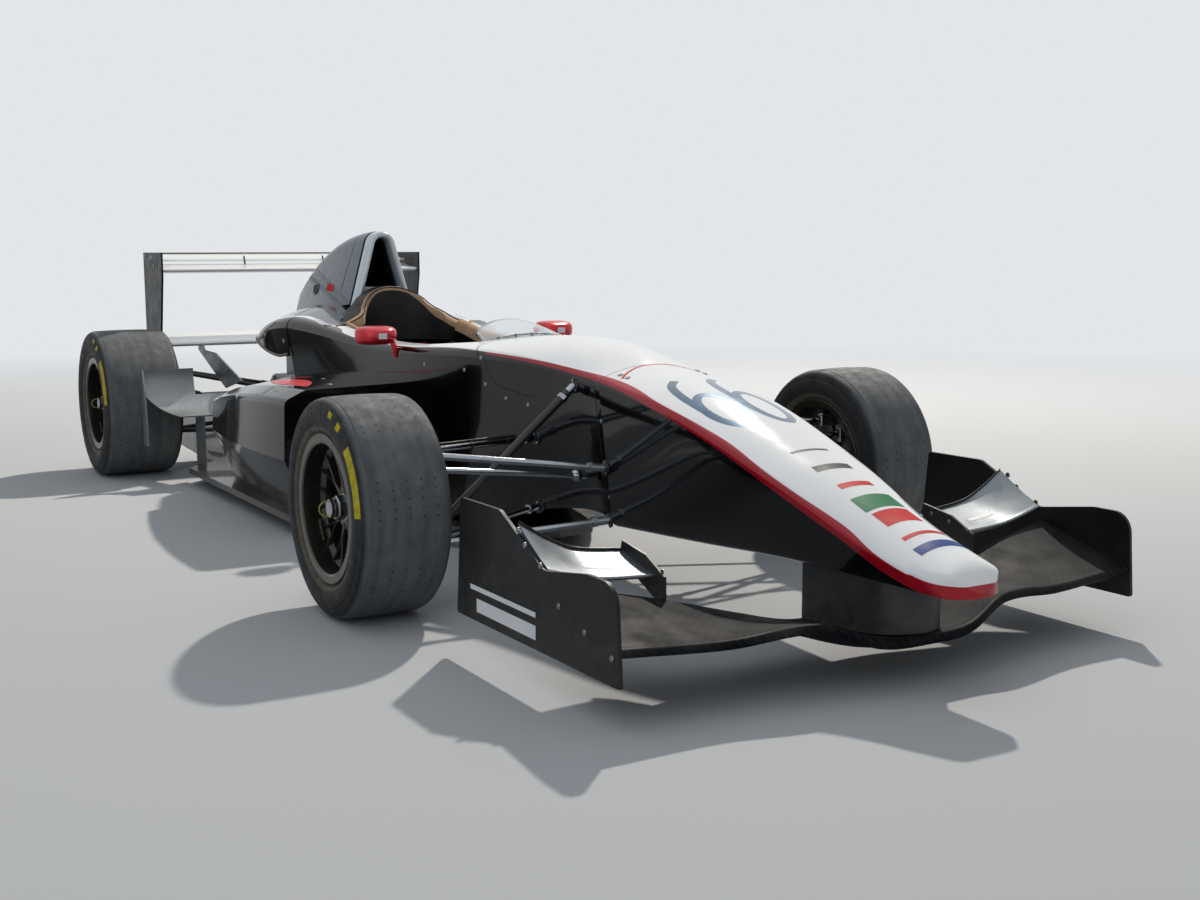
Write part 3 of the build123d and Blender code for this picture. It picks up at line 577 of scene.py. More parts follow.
# The same paint in plain black on the sidepods, a little duller where stones and dust hit it
GLOSS_BLACK = Finish(
    "gloss_black_paint", "08090c", 0.12, coat=0.5, specular=0.1, grain_mm=2.5, grain_depth=0.03, dust=0.35
)
# White polyurethane sprayed over the rear wing's laminate: clean, even and softly glossy
WHITE_PAINT = Finish(
    "white_paint", "f4f6f7", 0.22, coat=0.6, specular=0.2, grain_mm=2.5, grain_depth=0.03, mottle=0.02
)
# Aluminium flake paint under clear lacquer on the steel hoop: a cool sheen, dark away from the light
SILVER_PAINT = Finish("silver_paint", "9fb4c6", 0.24, metallic=0.5, coat=0.9, grain_mm=1.2, mottle=0.08)
# The same silver flake paint on the cowl's moulding, drawn dark blue grey: painted shade of the silver, with
# soft highlights from its lacquer
COWL_SHADED_SILVER = Finish(
    "cowl_paint", "33475a", 0.30, metallic=0.1, coat=0.35, specular=0.2, grain_mm=1.2, mottle=0.10
)
# Bare glass laminate rolled with matt black inside the intake: swallows the light
INTAKE_BLACK = Finish("intake_black", "08090a", 0.8, specular=0.15, grain_mm=1.5, grain_depth=0.2)
# Red two part paint with a thick clear coat on the moulded mirror pods: wet, rounded highlights
RED_PAINT = Finish("red_paint", "b3132b", 0.18, coat=1.0, grain_mm=2.0, mottle=0.06)
# Smooth powder coat baked on steel and aluminium parts: a low even sheen that catches dust. Laid over the
# plated pushrods, the same black is painted shade
SATIN_BLACK = Finish("satin_black_coating", "1b1d20", 0.42, grain_mm=0.8, dust=0.25, mottle=0.15)
# Laminate plates rolled with charcoal paint, scuffed by cones and stones: flat, patchy dark grey
PLATE_GREY = Finish(
    "charcoal_plate_paint", "0e1012", 0.45, coat=0.05, specular=0.25, grain_mm=1.2, mottle=0.25, dust=0.16
)
# Twill carbon cloth pressed in epoxy and left bare: a fine dark weave under gloss resin
CARBON = Weave("carbon_laminate", "16181b", 0.3, coat=0.5, light="2a2e33", grain_mm=3.0, dust=0.30)
# Bare wing laminate with the resin worn dull and marked by dried water: nearly black, no clear highlight
WING_CARBON = Weave(
    "worn_wing_laminate", "101214", 0.52, specular=0.04, light="181b1e", grain_mm=3.0, stain=0.12
)
# Silvered glass and carbon cloth laid up in clear epoxy: a bright satin twill
BRIGHT_CARBON = Weave(
    "silvered_laminate", "7f8487", 0.36, metallic=0.5, coat=0.3, light="9a9ea0", tow_mm=2.0, grain_mm=3.0
)
# Rolled aluminium skin of the flaps, wiped and scratched along the span: grey with long soft streaks
FLAP_SILVER = Brushed(
    "worn_flap_metal", "7f868b", 0.34, metallic=0.75, coat=0.2, grain_mm=2.0, grain_depth=0.12,
    mottle=0.25, stretch=(0.2, 2.0, 0.2),
)
# Forged magnesium rim sprayed anthracite and browned by brake dust: dark with metallic edges
RIM_METAL = Finish("rim_anthracite", "3b3732", 0.33, metallic=0.6, coat=0.3, grain_mm=1.0, mottle=0.25)
# The same rim where tyre changes wore the paint off the lip: a dull bronze line
RIM_EDGE = Finish("rim_worn_edge", "655e52", 0.36, metallic=0.75, grain_mm=1.0, mottle=0.3)
# Ground and oiled tool steel of nuts, screws and shafts: bright with fine turning lines
STEEL = Brushed("ground_steel", "8f9296", 0.3, metallic=1.0, mottle=0.12)
# Nickel plate over welded steel tube: bright where lit, with brown haze near the welds
PLATED_TUBE = Brushed(
    "plated_tube", "a4aab0", 0.2, metallic=1.0, mottle=0.22, mottle_mm=45.0, grain_depth=0.04
)
# Aluminium alloy milled from the solid: clean satin with the cutter's fine lines
ALUMINIUM = Brushed("machined_aluminium", "a5a8ab", 0.34, metallic=1.0, mottle=0.12)
# Cold rolled sheet, folded and left bare: a flat grey sheen with handling marks
STAY_METAL = Brushed("bare_sheet_metal", "858b8f", 0.42, metallic=0.85, mottle=0.22, grain_depth=0.10)
# Cast iron disc turned and then scored by the pads: rings that shine in the sun
DISC_IRON = Brushed("brake_disc_iron", "6b6a68", 0.32, metallic=1.0, mottle=0.2, stretch=(1.0, 0.2, 1.0))
# Forged aluminium caliper, hard anodised: a brown grey satin
CALIPER_GREY = Finish("anodised_caliper", "4b4c50", 0.3, metallic=0.7, grain_mm=0.8)
# Polycarbonate sheet bent over a form: clear, with sharp reflections at its edges
CLEAR = Clear("polycarbonate_sheet", "f4f8fa", 0.01, grain_depth=0.01, mottle=0.02)
# Cow leather stretched over foam: black with a pebbled grain and a worn sheen
LEATHER = Finish(
    "head_pad_leather", "0c0d10", 0.55, specular=0.3, grain_mm=2.2, grain_depth=0.25, mottle=0.15,
    mottle_mm=60.0,
)
# Brushed split leather, sand coloured and napped, so it has no highlight
TAN_SUEDE = Finish(
    "tan_suede", "c3a283", 0.95, specular=0.2, grain_mm=0.9, grain_depth=0.35, mottle=0.25, mottle_mm=50.0
)
# Black napped leather and cloth of grips and seat: matt, with a short soft pile
SUEDE = Finish("wheel_grip_suede", "17181b", 0.92, grain_mm=0.8, grain_depth=0.4, mottle=0.2)
# Polyester belt woven in narrow ribs and dyed red: matt, with lines along the strap
WEBBING = Brushed("belt_webbing", "8e1420", 0.7, grain_mm=1.5, grain_depth=0.4, stretch=(1.0, 3.0, 1.0))
# Moulded red acrylic lens over rows of bulbs: glossy, with a brighter spot at each bulb
LAMP_RED = Glow("rain_lamp_lens", "7c0e14", 0.15, coat=1.0)
# Sand cast aluminium engine block: pale grey, pitted and dull
CAST = Finish("cast_block", "6c7074", 0.55, metallic=0.8, grain_mm=2.0, grain_depth=0.3, mottle=0.2)
# Magnesium gear case cast and dipped in a brown protective bath: coarse satin with darker patches
MAGNESIUM = Finish(
    "cast_gear_case", "77797a", 0.5, metallic=0.8, grain_mm=2.5, grain_depth=0.25, mottle=0.25
)
# Folded aluminium fins soldered between the tubes: many fine dark and light lines
FINS = Brushed(
    "radiator_core", "55585b", 0.5, metallic=0.8, grain_mm=2.0, grain_depth=0.9, stretch=(0.3, 4.0, 0.3)
)
# Metallised vinyl film cut to the digits: blue grey that mirrors the sky
NUMBER_FOIL = Finish(
    "number_foil", "4b6680", 0.14, metallic=0.9, coat=0.5, grain_mm=3.0, grain_depth=0.02
)
# Float glass silvered behind: a near perfect mirror
MIRROR_GLASS = Finish("mirror_glass", "dfe4e8", 0.03, metallic=1.0, grain_depth=0.0, mottle=0.02)
# Cast vinyl films, printed through and cut by knife: flat even colours with a weak sheen
VINYL_RED = Finish("red_vinyl", "c8101c", 0.5, specular=0.1, grain_mm=2.0)
VINYL_GREEN = Finish("green_vinyl", "087348", 0.5, specular=0.1, grain_mm=2.0)
VINYL_BLUE = Finish("blue_vinyl", "123f88", 0.5, specular=0.1, grain_mm=2.0)
VINYL_GREY = Finish("grey_vinyl", "2c3238", 0.5, specular=0.1, grain_mm=2.0)
# The same film under a thin gloss laminate: clear colours with a soft highlight
VINYL_TEAL = Finish("teal_vinyl", "3f8f96", 0.45, coat=0.1, specular=0.25, grain_mm=2.0)
VINYL_WHITE = Finish("white_vinyl", "e8ecef", 0.40, coat=0.1, specular=0.3, grain_mm=2.0)
# Black polyurethane sealer in the panel gaps, and moulded black plastic keys: dull and dark. The same black
# fills the cowl's vents as painted shade
SEAM_BLACK_AND_VENT_SHADE = Finish("panel_gap_sealer", "0a0b0c", 0.6, grain_mm=1.0)
# Red acrylic paint masked and sprayed on the sidepods: flat red with a weak gloss
FLASH_RED = Finish("flash_red_paint", "d0141c", 0.35, coat=0.2, specular=0.3, grain_mm=2.0, mottle=0.05)
# Spring steel wire dipped in yellow green enamel: a bright thin line that shows the nut is kept
CLIP_WIRE = Finish("painted_clip_wire", "9fb41f", 0.35, coat=0.4, grain_mm=1.0)
# Thin stainless tube, bent and welded, browned by its own heat: bronze bands over steel
EXHAUST = Brushed("exhaust_tube", "7d6a58", 0.36, metallic=1.0, mottle=0.45, mottle_mm=70.0)
# Moulded black rubber hose with cloth inside: dull, with the cloth's faint print
RUBBER_HOSE = Finish("rubber_hose", "151618", 0.6, grain_mm=1.2, grain_depth=0.3)


# Shapes


def around(count: int) -> list[float]:
    """Equal steps round a circle, in radians."""
    return [math.tau * k / count for k in range(count)]


def squarish(value: float, power: float) -> float:
    """A sine or cosine pulled outward, so that its oval gets fuller corners."""
    return math.copysign(abs(value) ** power, value)


def rounded_box(half_a: float, half_b: float, radius: float, steps: int) -> list[Flat]:
    """The outline of a box with round corners, from the middles of its corners' arcs.

    Args:
        half_a: Half the way between the corners' middles, the first way.
        half_b: The same the second way.
        radius: The corners' radius.
        steps: Stretches round one corner.

    Returns:
        The points, round the middle.
    """
    out = []
    for quarter, (a, b) in enumerate(((1, 1), (-1, 1), (-1, -1), (1, -1))):
        turns = [0.5 * math.pi * (quarter + k / steps) for k in range(steps + 1)]
        out += [(a * half_a + radius * math.cos(t), b * half_b + radius * math.sin(t)) for t in turns]
    return out


def arc_through(start: Flat, middle: Flat, end: Flat, steps: int) -> list[Flat]:
    """Points of the round arc through three points.

    Args:
        start: First point.
        middle: A point on the way.
        end: Last point.
        steps: How many stretches it is cut into.

    Returns:
        The points, with both ends.
    """
    (ax, ay), (bx, by), (cx, cy) = start, middle, end
    double = 2 * (ax * (by - cy) + bx * (cy - ay) + cx * (ay - by))
    aa, bb, cc = ax * ax + ay * ay, bx * bx + by * by, cx * cx + cy * cy
    ox = (aa * (by - cy) + bb * (cy - ay) + cc * (ay - by)) / double
    oy = (aa * (cx - bx) + bb * (ax - cx) + cc * (bx - ax)) / double
    radius = math.hypot(ax - ox, ay - oy)
    first = math.atan2(ay - oy, ax - ox)
    turn = (math.atan2(cy - oy, cx - ox) - first) % math.tau
    if (math.atan2(by - oy, bx - ox) - first) % math.tau > turn:
        turn -= math.tau
    places = [first + turn * k / steps for k in range(steps + 1)]
    return [(ox + radius * math.cos(a), oy + radius * math.sin(a)) for a in places]


def smooth_line(points: list[Point], steps: int = 6) -> list[Vector]:
    """A smooth line through the given points.

    Args:
        points: Points that the line goes through.
        steps: Stretches between one point and the next.

    Returns:
        Points along the line.
    """
    rows = [Vector(p) for p in points]
    rows = [2 * rows[0] - rows[1]] + rows + [2 * rows[-1] - rows[-2]]
    out = []
    for a, b, c, d in zip(rows, rows[1:], rows[2:], rows[3:]):
        square, cube = 2 * a - 5 * b + 4 * c - d, 3 * b - a - 3 * c + d
        for t in (k / steps for k in range(steps)):
            out.append(0.5 * (2 * b + (c - a) * t + square * t * t + cube * t**3))
    out.append(rows[-2])
    return out


class Side(Enum):
    """The two sides of the car, with the sign of Y."""

    LEFT = 1
    RIGHT = -1

    @property
    def word(self) -> str:
        """The side's name in lower case."""
        return self.name.lower()


@dataclass
class Shape:
    """The points and faces of one piece, built step by step."""

    points: list[Vector] = field(default_factory=list)
    faces: list[tuple[int, ...]] = field(default_factory=list)
    marks: list[int] = field(default_factory=list)
    mark: int = 0

    def face(self, corners: tuple[int, ...]) -> None:
        """Add one face in the current finish."""
        self.faces.append(corners)
        self.marks.append(self.mark)

    def grid(self, rows: list, wrap: bool = False, ring: bool = False, caps: bool = False) -> None:
        """Add a skin through rows of points.

        Args:
            rows: Rows with the same number of points.
            wrap: True where each row closes on itself.
            ring: True where the last row joins the first.
            caps: True to close the first and last rows.
        """
        base, wide = len(self.points), len(rows[0])
        for row in rows:
            self.points.extend(Vector(p) for p in row)
        for i in range(len(rows) if ring else len(rows) - 1):
            a, b = base + i * wide, base + (i + 1) % len(rows) * wide
            for j in range(wide if wrap else wide - 1):
                k = (j + 1) % wide
                self.face((a + j, a + k, b + k, b + j))
        if caps:
            self.face(tuple(base + j for j in reversed(range(wide))))
            self.face(tuple(base + (len(rows) - 1) * wide + j for j in range(wide)))

    def tube(
        self, path: list, radius: float | list[float], sides: int = 12, closed: bool = False,
        flat: float = 1.0,
    ) -> None:
        """Add a tube along a path.

        Args:
            path: Points along the middle.
            radius: One radius, or one for each point.
            sides: Corners of the section.
            closed: True where the path is a loop.
            flat: Height of the section against its width.
        """
        line = [Vector(p) for p in path]
        sizes = radius if isinstance(radius, (list, tuple)) else [radius] * len(line)
        rows, up = [], None
        count = len(line)
        for k, spot in enumerate(line):
            ahead = line[(k + 1) % count] if closed or k + 1 < count else spot
            behind = line[k - 1] if closed or k else spot
            way = (ahead - behind).normalized()
            if up is None:
                up = Vector((0, 0, 1)) if abs(way.z) < 0.9 else Vector((1, 0, 0))
            up = (up - way * up.dot(way)).normalized()
            side = way.cross(up)
            ring = [side * math.cos(t) + up * math.sin(t) * flat for t in around(sides)]
            rows.append([spot + sizes[k] * way_out for way_out in ring])
        self.grid(rows, wrap=True, ring=closed, caps=not closed)

    def lathe(self, profile: list[Flat], centre: Point, axis: Point, steps: int, closed: bool = True) -> None:
        """Turn a profile of radius and distance along an axis.

        Args:
            profile: Radius and distance along the axis of each point.
            centre: Where the axis starts.
            axis: Its direction.
            steps: Stretches round it.
            closed: True where the profile is a loop.
        """
        middle, way = Vector(centre), Vector(axis).normalized()
        first = Vector((0, 0, 1)) if abs(way.z) < 0.9 else Vector((1, 0, 0))
        second = way.cross(first)
        rows = []
        for turn in around(steps):
            out = first * math.cos(turn) + second * math.sin(turn)
            rows.append([middle + out * r + way * a for r, a in profile])
        self.grid(rows, wrap=closed, ring=True)

    def disc(self, centre: Point, axis: Point, radius: float, depth: float, steps: int = 16) -> None:
        """Add a flat round slug whose first face is at the centre.

        Args:
            centre: The middle of the first face.
            axis: The direction from there to the other face.
            radius: Its radius.
            depth: The way between its faces.
            steps: Its corners.
        """
        edge = min(radius, depth) * 0.25
        profile = [(0.0, 0.0), (radius, 0.0), (radius, depth - edge), (radius - edge, depth), (0.0, depth)]
        self.lathe(profile, centre, axis, steps, closed=False)

    def button(self, centre: Point) -> None:
        """Add a button screw with its socket, which faces the car's left.

        Args:
            centre: The middle of its foot.
        """
        x, y, z = centre
        self.disc(centre, (0, 1, 0), 0.0065, 0.0030, 18)
        self.disc((x, y + 0.0027, z), (0, 1, 0), 0.0030, 0.0010, 6)

    def plate(self, outline: list[Point], depth: Point) -> None:
        """Add a flat plate from its outline and the way to its other face.

        Args:
            outline: The corners of one face.
            depth: The way to the other face.
        """
        base, wide = len(self.points), len(outline)
        self.points.extend(Vector(p) for p in outline)
        self.points.extend(Vector(p) + Vector(depth) for p in outline)
        self.face(tuple(base + k for k in range(wide)))
        self.face(tuple(base + wide + k for k in reversed(range(wide))))
        for k in range(wide):
            n = (k + 1) % wide
            self.face((base + k, base + wide + k, base + wide + n, base + n))

    def block(self, low: Point, high: Point) -> None:
        """Add a block between two corners."""
        (ax, ay, az), (bx, by, bz) = low, high
        self.plate([(ax, ay, az), (bx, ay, az), (bx, by, az), (ax, by, az)], (0, 0, bz - az))

    def shift(self, move: Matrix, since: int = 0) -> None:
        """Move the points added since a count."""
        for k in range(since, len(self.points)):
            self.points[k] = move @ self.points[k]

    def both_sides(self) -> None:
        """Add the mirror image on the other side of the car."""
        base = len(self.points)
        self.points.extend(Vector((p.x, -p.y, p.z)) for p in self.points[:base])
        self.faces.extend(tuple(base + k for k in reversed(face)) for face in self.faces[:])
        self.marks.extend(self.marks[:])


@dataclass
class Skin:
    """The outside of some nodes or pieces, which vinyl, gaps and screws lie on."""

    names: Names
    frame: dict

    def __post_init__(self) -> None:
        """Gather the faces for the search."""
        points, faces = [], []
        for name in self.names:
            item = self.frame["nodes"].get(name) or bpy.data.objects[name]
            mesh, base = item.data, len(points)
            points.extend(v.co for v in mesh.vertices)
            faces.extend(tuple(base + k for k in face.vertices) for face in mesh.polygons)
        self.tree = BVHTree.FromPolygons(points, faces)

    def touch(self, start: Point, way: Point) -> tuple[Vector, Vector] | None:
        """Where a line meets the skin, and which way the skin faces there.

        Args:
            start: A point in front of the skin.
            way: The direction of the line.

        Returns:
            The place and the way out of the skin, or nothing where the line misses it.
        """
        place, normal, _, _ = self.tree.ray_cast(Vector(start), Vector(way).normalized())
        if place is None:
            return None
        return place, normal if normal.dot(Vector(way)) < 0 else -normal

    def drape(self, shape: Shape, rows: list, way: Point, lift: float = 0.0005) -> None:
        """Lay a grid of points on the skin and leave out what misses it.

        Args:
            shape: The piece that gets the faces.
            rows: Rows of points in front of the skin.
            way: The direction they travel to it.
            lift: How far they stop from it.
        """
        wide, spots = len(rows[0]), {}
        for i, row in enumerate(rows):
            for j, start in enumerate(row):
                found = self.touch(start, way)
                if found:
                    spots[i, j] = len(shape.points)
                    shape.points.append(found[0] + found[1] * lift)
        for i in range(len(rows) - 1):
            for j in range(wide - 1):
                corners = [(i, j), (i, j + 1), (i + 1, j + 1), (i + 1, j)]
                if all(c in spots for c in corners):
                    shape.face(tuple(spots[c] for c in corners))

    def drape_side(self, shape: Shape, rows: list[list[Flat]], sign: float, lift: float = 0.0005) -> None:
        """Lay rows of x and z on the car's left or right side."""
        spots = [[(x, sign * OUTSIDE, z) for x, z in row] for row in rows]
        self.drape(shape, spots, (0.0, -sign, 0.0), lift)

    def drape_top(self, shape: Shape, rows: list[list[Flat]], lift: float = 0.0005) -> None:
        """Lay rows of x and y on the car's top."""
        self.drape(shape, [[(x, y, OUTSIDE) for x, y in row] for row in rows], DOWN, lift)

    def stud(
        self, shape: Shape, start: Point, way: Point, sizes: Flat, sink: float = 0.0015, steps: int = 18
    ) -> None:
        """Set a round slug where a line meets the skin.

        Args:
            shape: The piece that gets it.
            start: A point in front of the skin.
            way: The direction from there to the skin.
            sizes: Its radius and depth.
            sink: How deep its foot lies in the skin.
            steps: Its corners.
        """
        found = self.touch(start, way)
        if found:
            shape.disc(tuple(found[0] - found[1] * sink), tuple(found[1]), *sizes, steps)


def ribbon(path: list[Flat], width: float, across: int = 4, closed: bool = False) -> list[list[Flat]]:
    """A flat strip of even width along a path.

    Args:
        path: Points along the middle.
        width: One width.
        across: Stretches across it.
        closed: True where the path is a loop.

    Returns:
        Rows of points, one row for each point of the path.
    """
    line = [Vector(p) for p in path]
    if closed:
        line.append(line[0])
    rows = []
    for k, spot in enumerate(line):
        ahead = line[k + 1] if k + 1 < len(line) else (line[1] if closed else spot)
        behind = line[k - 1] if k else (line[-2] if closed else spot)
        way = (ahead - behind).normalized()
        side = Vector((-way.y, way.x))
        rows.append([tuple(spot + side * width * (j / across - 0.5)) for j in range(across + 1)])
    return rows


def split(path: list[Flat], step: float) -> list[Flat]:
    """A path of straight runs cut into stretches no longer than a step.

    Args:
        path: The corners of the path.
        step: The longest stretch.

    Returns:
        The points, with both ends.
    """
    out = []
    for (ax, ay), (bx, by) in zip(path, path[1:]):
        count = max(1, math.ceil(math.hypot(bx - ax, by - ay) / step))
        out.extend((ax + (bx - ax) * k / count, ay + (by - ay) * k / count) for k in range(count))
    out.append(path[-1])
    return out


def place_piece(
    shape: Shape, name: str, finishes: tuple[Finish, ...], body: str = CHASSIS, replaces: Names = (),
    bevel: float = 0.0, thick: float = 0.0, sharp: float = 35.0,
) -> bpy.types.Object:
    """Turn a shape into a piece that rides on a body.

    Args:
        shape: Its points and faces.
        name: The piece's name.
        finishes: One finish for each mark in the shape.
        body: The body that carries it.
        replaces: Construction nodes that it stands for.
        bevel: Width of the rounding on its edges, in metres.
        thick: Thickness given to a sheet, in metres.
        sharp: Edges that turn more than this stay crisp, in degrees.

    Returns:
        The new object.
    """
    mesh = bpy.data.meshes.new(name)
    mesh.from_pydata([tuple(p) for p in shape.points], [], shape.faces)
    mesh.polygons.foreach_set("material_index", shape.marks)
    work = bmesh.new()
    work.from_mesh(mesh)
    bmesh.ops.remove_doubles(work, verts=work.verts, dist=1e-6)
    if not thick:
        bmesh.ops.recalc_face_normals(work, faces=work.faces)
    work.to_mesh(mesh)
    work.free()
    for finish in finishes:
        mesh.materials.append(finish.build())
    piece = bpy.data.objects.new(name, mesh)
    bpy.context.scene.collection.objects.link(piece)
    mesh.shade_smooth()
    if thick:
        sheet = piece.modifiers.new("thickness", "SOLIDIFY")
        sheet.thickness = thick
        sheet.offset = -1.0
    mesh.set_sharp_from_angle(angle=math.radians(sharp))
    if bevel:
        edge = piece.modifiers.new("edges", "BEVEL")
        edge.width = bevel
        edge.segments = 2
        edge.limit_method = "ANGLE"
        edge.angle_limit = math.radians(40.0)
        edge.harden_normals = True
    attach(piece, body)
    if replaces:
        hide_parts(*replaces)
    log.info("piece %s: %d faces on %s", name, len(mesh.polygons), body)
    return piece


# Wheels


@dataclass
class Wheel:
    """One road wheel: slick tyre, forked spoke rim, centre nut and brake disc.

    The wheel's own distance a runs outward from its middle plane, along the axle.
    """

    side: Side
    end: str
    centre: Point
    reach: float
    section: float
    rim_width: float
    bead: float = 0.165
    flange: float = 0.017
    setback: float = 0.046
    spokes: int = 10
    spread: float = 9.0
    fork: float = 0.072
    hub: float = 0.054
    disc: float = 0.137
    disc_place: float = -0.050
    tyre_steps: int = 160
    rim_steps: int = 96
    spin_offset: float = 0.0

    def place(
        self, shape: Shape, name: str, finish: Finish, slot: str, sharp: float, stands_for: Names = ()
    ) -> None:
        """Place a piece of this wheel, named and carried as the wheel is."""
        name, *nodes = (f"{self.end}_{part}_{self.side.word}" for part in (name, *stands_for))
        place_piece(shape, name, (finish,), self.body, tuple(nodes), sharp=sharp)

    @property
    def body(self) -> str:
        """The body that carries the wheel."""
        return f"{self.end}_wheel_{self.side.word}"

    @property
    def axis(self) -> Point:
        """The way out along the axle."""
        return (0.0, float(self.side.value), 0.0)

    @property
    def face(self) -> float:
        """How far out the spokes' front lies."""
        return self.rim_width / 2 - self.setback

    def spot(self, radius: float, degrees: float, along: float) -> Vector:
        """A point at a radius, an angle round the axle and a distance along it.

        Args:
            radius: Distance from the axle.
            degrees: The angle, before the wheel's own turn.
            along: Distance outward from the wheel's middle plane.

        Returns:
            The point on the car.
        """
        turn = math.radians(degrees + self.spin_offset)
        x, y, z = self.centre
        return Vector((x + radius * math.cos(turn), y + self.side.value * along, z + radius * math.sin(turn)))

    def tyre_profile(self) -> list[Flat]:
        """Half of the tyre's cut: bead, rim guard, sidewall rings, shoulder and tread.

        Returns:
            Radius and distance along the axle of each point.
        """
        seat, bulge = self.rim_width / 2 - 0.001, self.section / 2
        rim_top, top = self.bead + self.flange, self.reach - 0.0025
        shoulder, tread = top - 0.026, bulge - 0.030
        out = [(self.bead + 0.0003, 0.0), (self.bead + 0.0003, seat), (rim_top + 0.002, seat + 0.001)]
        widest = ((rim_top + self.reach) / 2 - 0.008, bulge)
        wall = arc_through((rim_top + 0.003, seat), widest, (shoulder, bulge - 0.005), 30)
        rings = (
            (rim_top + 0.011, 0.0022, 0.004), (rim_top + 0.020, -0.0009, 0.0012),
            (shoulder - 0.006, 0.0009, 0.0016),
        )
        for r, a in wall:
            lift = sum(high * math.exp(-(((r - ring) / wide) ** 2)) for ring, high, wide in rings)
            out.append((r, min(a + lift, bulge)))
        middle, end = (top - 0.008, bulge - 0.013), (top - 0.0014, tread + 0.001)
        out += arc_through((shoulder, bulge - 0.005), middle, end, 8)[1:]
        out += [(top - 0.0016, tread), (top - 0.0002, tread - 0.0008)]
        crown = arc_through((top, tread - 0.002), (self.reach, 0.0), (top, 0.002 - tread), 14)
        return out + [p for p in crown if p[1] >= 0]

    def make_tyre(self) -> None:
        """Turn the tyre and give it slick rubber."""
        half = self.tyre_profile()
        other = [(r, -a) for r, a in reversed(half) if a > 1e-6]
        shape = Shape()
        shape.lathe(half + other, self.centre, self.axis, self.tyre_steps)
        rubber = Slick(
            f"slick_rubber_{self.end}_{self.side.word}", "1f2123", 0.72, grain_mm=1.2, grain_depth=0.35,
            specular=0.35, mottle=0.2, mottle_mm=40.0, centre=self.centre, reach=self.reach,
            half_tread=self.section / 2 - 0.030,
        )
        self.place(shape, "tyre_rubber", rubber, "tyre", 35.0, ("tyre",))

    def barrel_profile(self) -> list[Flat]:
        """The rim's cut: rounded flanges, bead seats, humps and drop well.

        Returns:
            Radius and distance along the axle of each point.
        """
        half, seat, wall = self.rim_width / 2, self.bead, 0.005
        top, out = self.bead + self.flange, self.rim_width / 2 + 0.0065
        inner = seat - wall
        lip = arc_through((top - 0.002, half), (top, half + 0.0032), (top - 0.002, out), 6)
        upper = [(seat, 0.058), (seat + 0.002, half - 0.022), (seat, half - 0.014), (seat, half), *lip]
        face = [
            (seat - 0.002, out), (inner - 0.002, out - 0.003), (inner - 0.004, half - 0.012),
            (inner, half - 0.024),
        ]
        lower = [(inner, 0.060), (inner - 0.013, 0.050), (inner - 0.013, 0.014), (inner, 0.004)]
        back = [(inner, -half), (inner + 0.003, -out)]
        under = [(r, -a) for r, a in reversed(lip)]
        rest = [(seat, -half), (seat, 0.006), (seat - 0.013, 0.016), (seat - 0.013, 0.048)]
        return upper + face + lower + back + under + rest

    def spoke_section(self, centre: Vector, way: Vector, width: float, deep: float) -> list[Vector]:
        """Eight corners of a spoke's cut, with a narrow crowned front.

        Args:
            centre: The middle of its front.
            way: The direction in which the spoke runs.
            width: Its width.
            deep: Its depth.

        Returns:
            The corners.
        """
        out = Vector(self.axis)
        side = way.cross(out).normalized()
        half = ((0.5, -1.0), (0.55, -0.45), (0.42, -0.1), (0.18, 0.0))
        corners = [(-0.5, -1.0), *half, *((-a, b) for a, b in reversed(half[1:]))]
        return [centre + side * width * a + out * deep * b for a, b in corners]

    def spoke_arm(self, shape: Shape, rows: list[tuple[float, float, float, float, float]]) -> None:
        """Add one arm from a table of radius, angle, distance out, width and depth.

        Args:
            shape: The piece that gets it.
            rows: One row for each cut.
        """
        spots = [self.spot(r, turn, a) for r, turn, a, _, _ in rows]
        sections = []
        for k, (_, _, _, width, deep) in enumerate(rows):
            ahead = spots[min(k + 1, len(rows) - 1)] - spots[max(k - 1, 0)]
            sections.append(self.spoke_section(spots[k], ahead.normalized(), width, deep))
        shape.grid(sections, wrap=True, caps=True)

    def make_rim(self) -> None:
        """The barrel, the forked spokes and the hub plate."""
        shape = Shape()
        shape.lathe(self.barrel_profile(), self.centre, self.axis, self.rim_steps)
        face, wall = self.face, self.bead - 0.005
        for k in range(self.spokes):
            middle = 360.0 * k / self.spokes
            root = (self.hub - 0.006, middle, face, 0.017, 0.018)
            self.spoke_arm(shape, [root, (self.fork + 0.003, middle, face + 0.001, 0.0115, 0.017)])
            for sign in SIGNS:
                rows = []
                for t in (step / 5 for step in range(6)):
                    radius = self.fork - 0.004 + (wall + 0.0015 - self.fork + 0.004) * t
                    turn = middle + sign * self.spread * min(1.0, t * 1.08)
                    width, deep = 0.0068 + 0.002 * t * t, 0.017 + 0.006 * t
                    rows.append((radius, turn, face + 0.001 + 0.007 * t * t, width, deep))
                self.spoke_arm(shape, rows)
        hub = [
            (0.0315, face - 0.052), (0.0315, face - 0.004), (0.036, face), (0.045, face + 0.001),
            (0.047, face - 0.003), (0.0515, face - 0.003), (self.hub, face), (self.hub + 0.001, face - 0.018),
            (0.048, face - 0.052),
        ]
        shape.lathe(hub, self.centre, self.axis, 60)
        for k in range(self.spokes):
            peg = self.spot(0.0415, 360.0 * (k + 0.5) / self.spokes, face - 0.001)
            shape.disc(tuple(peg), self.axis, 0.0028, 0.0035, 10)
        self.place(shape, "rim_casting", RIM_METAL, "rim", 30.0, ("rim",))

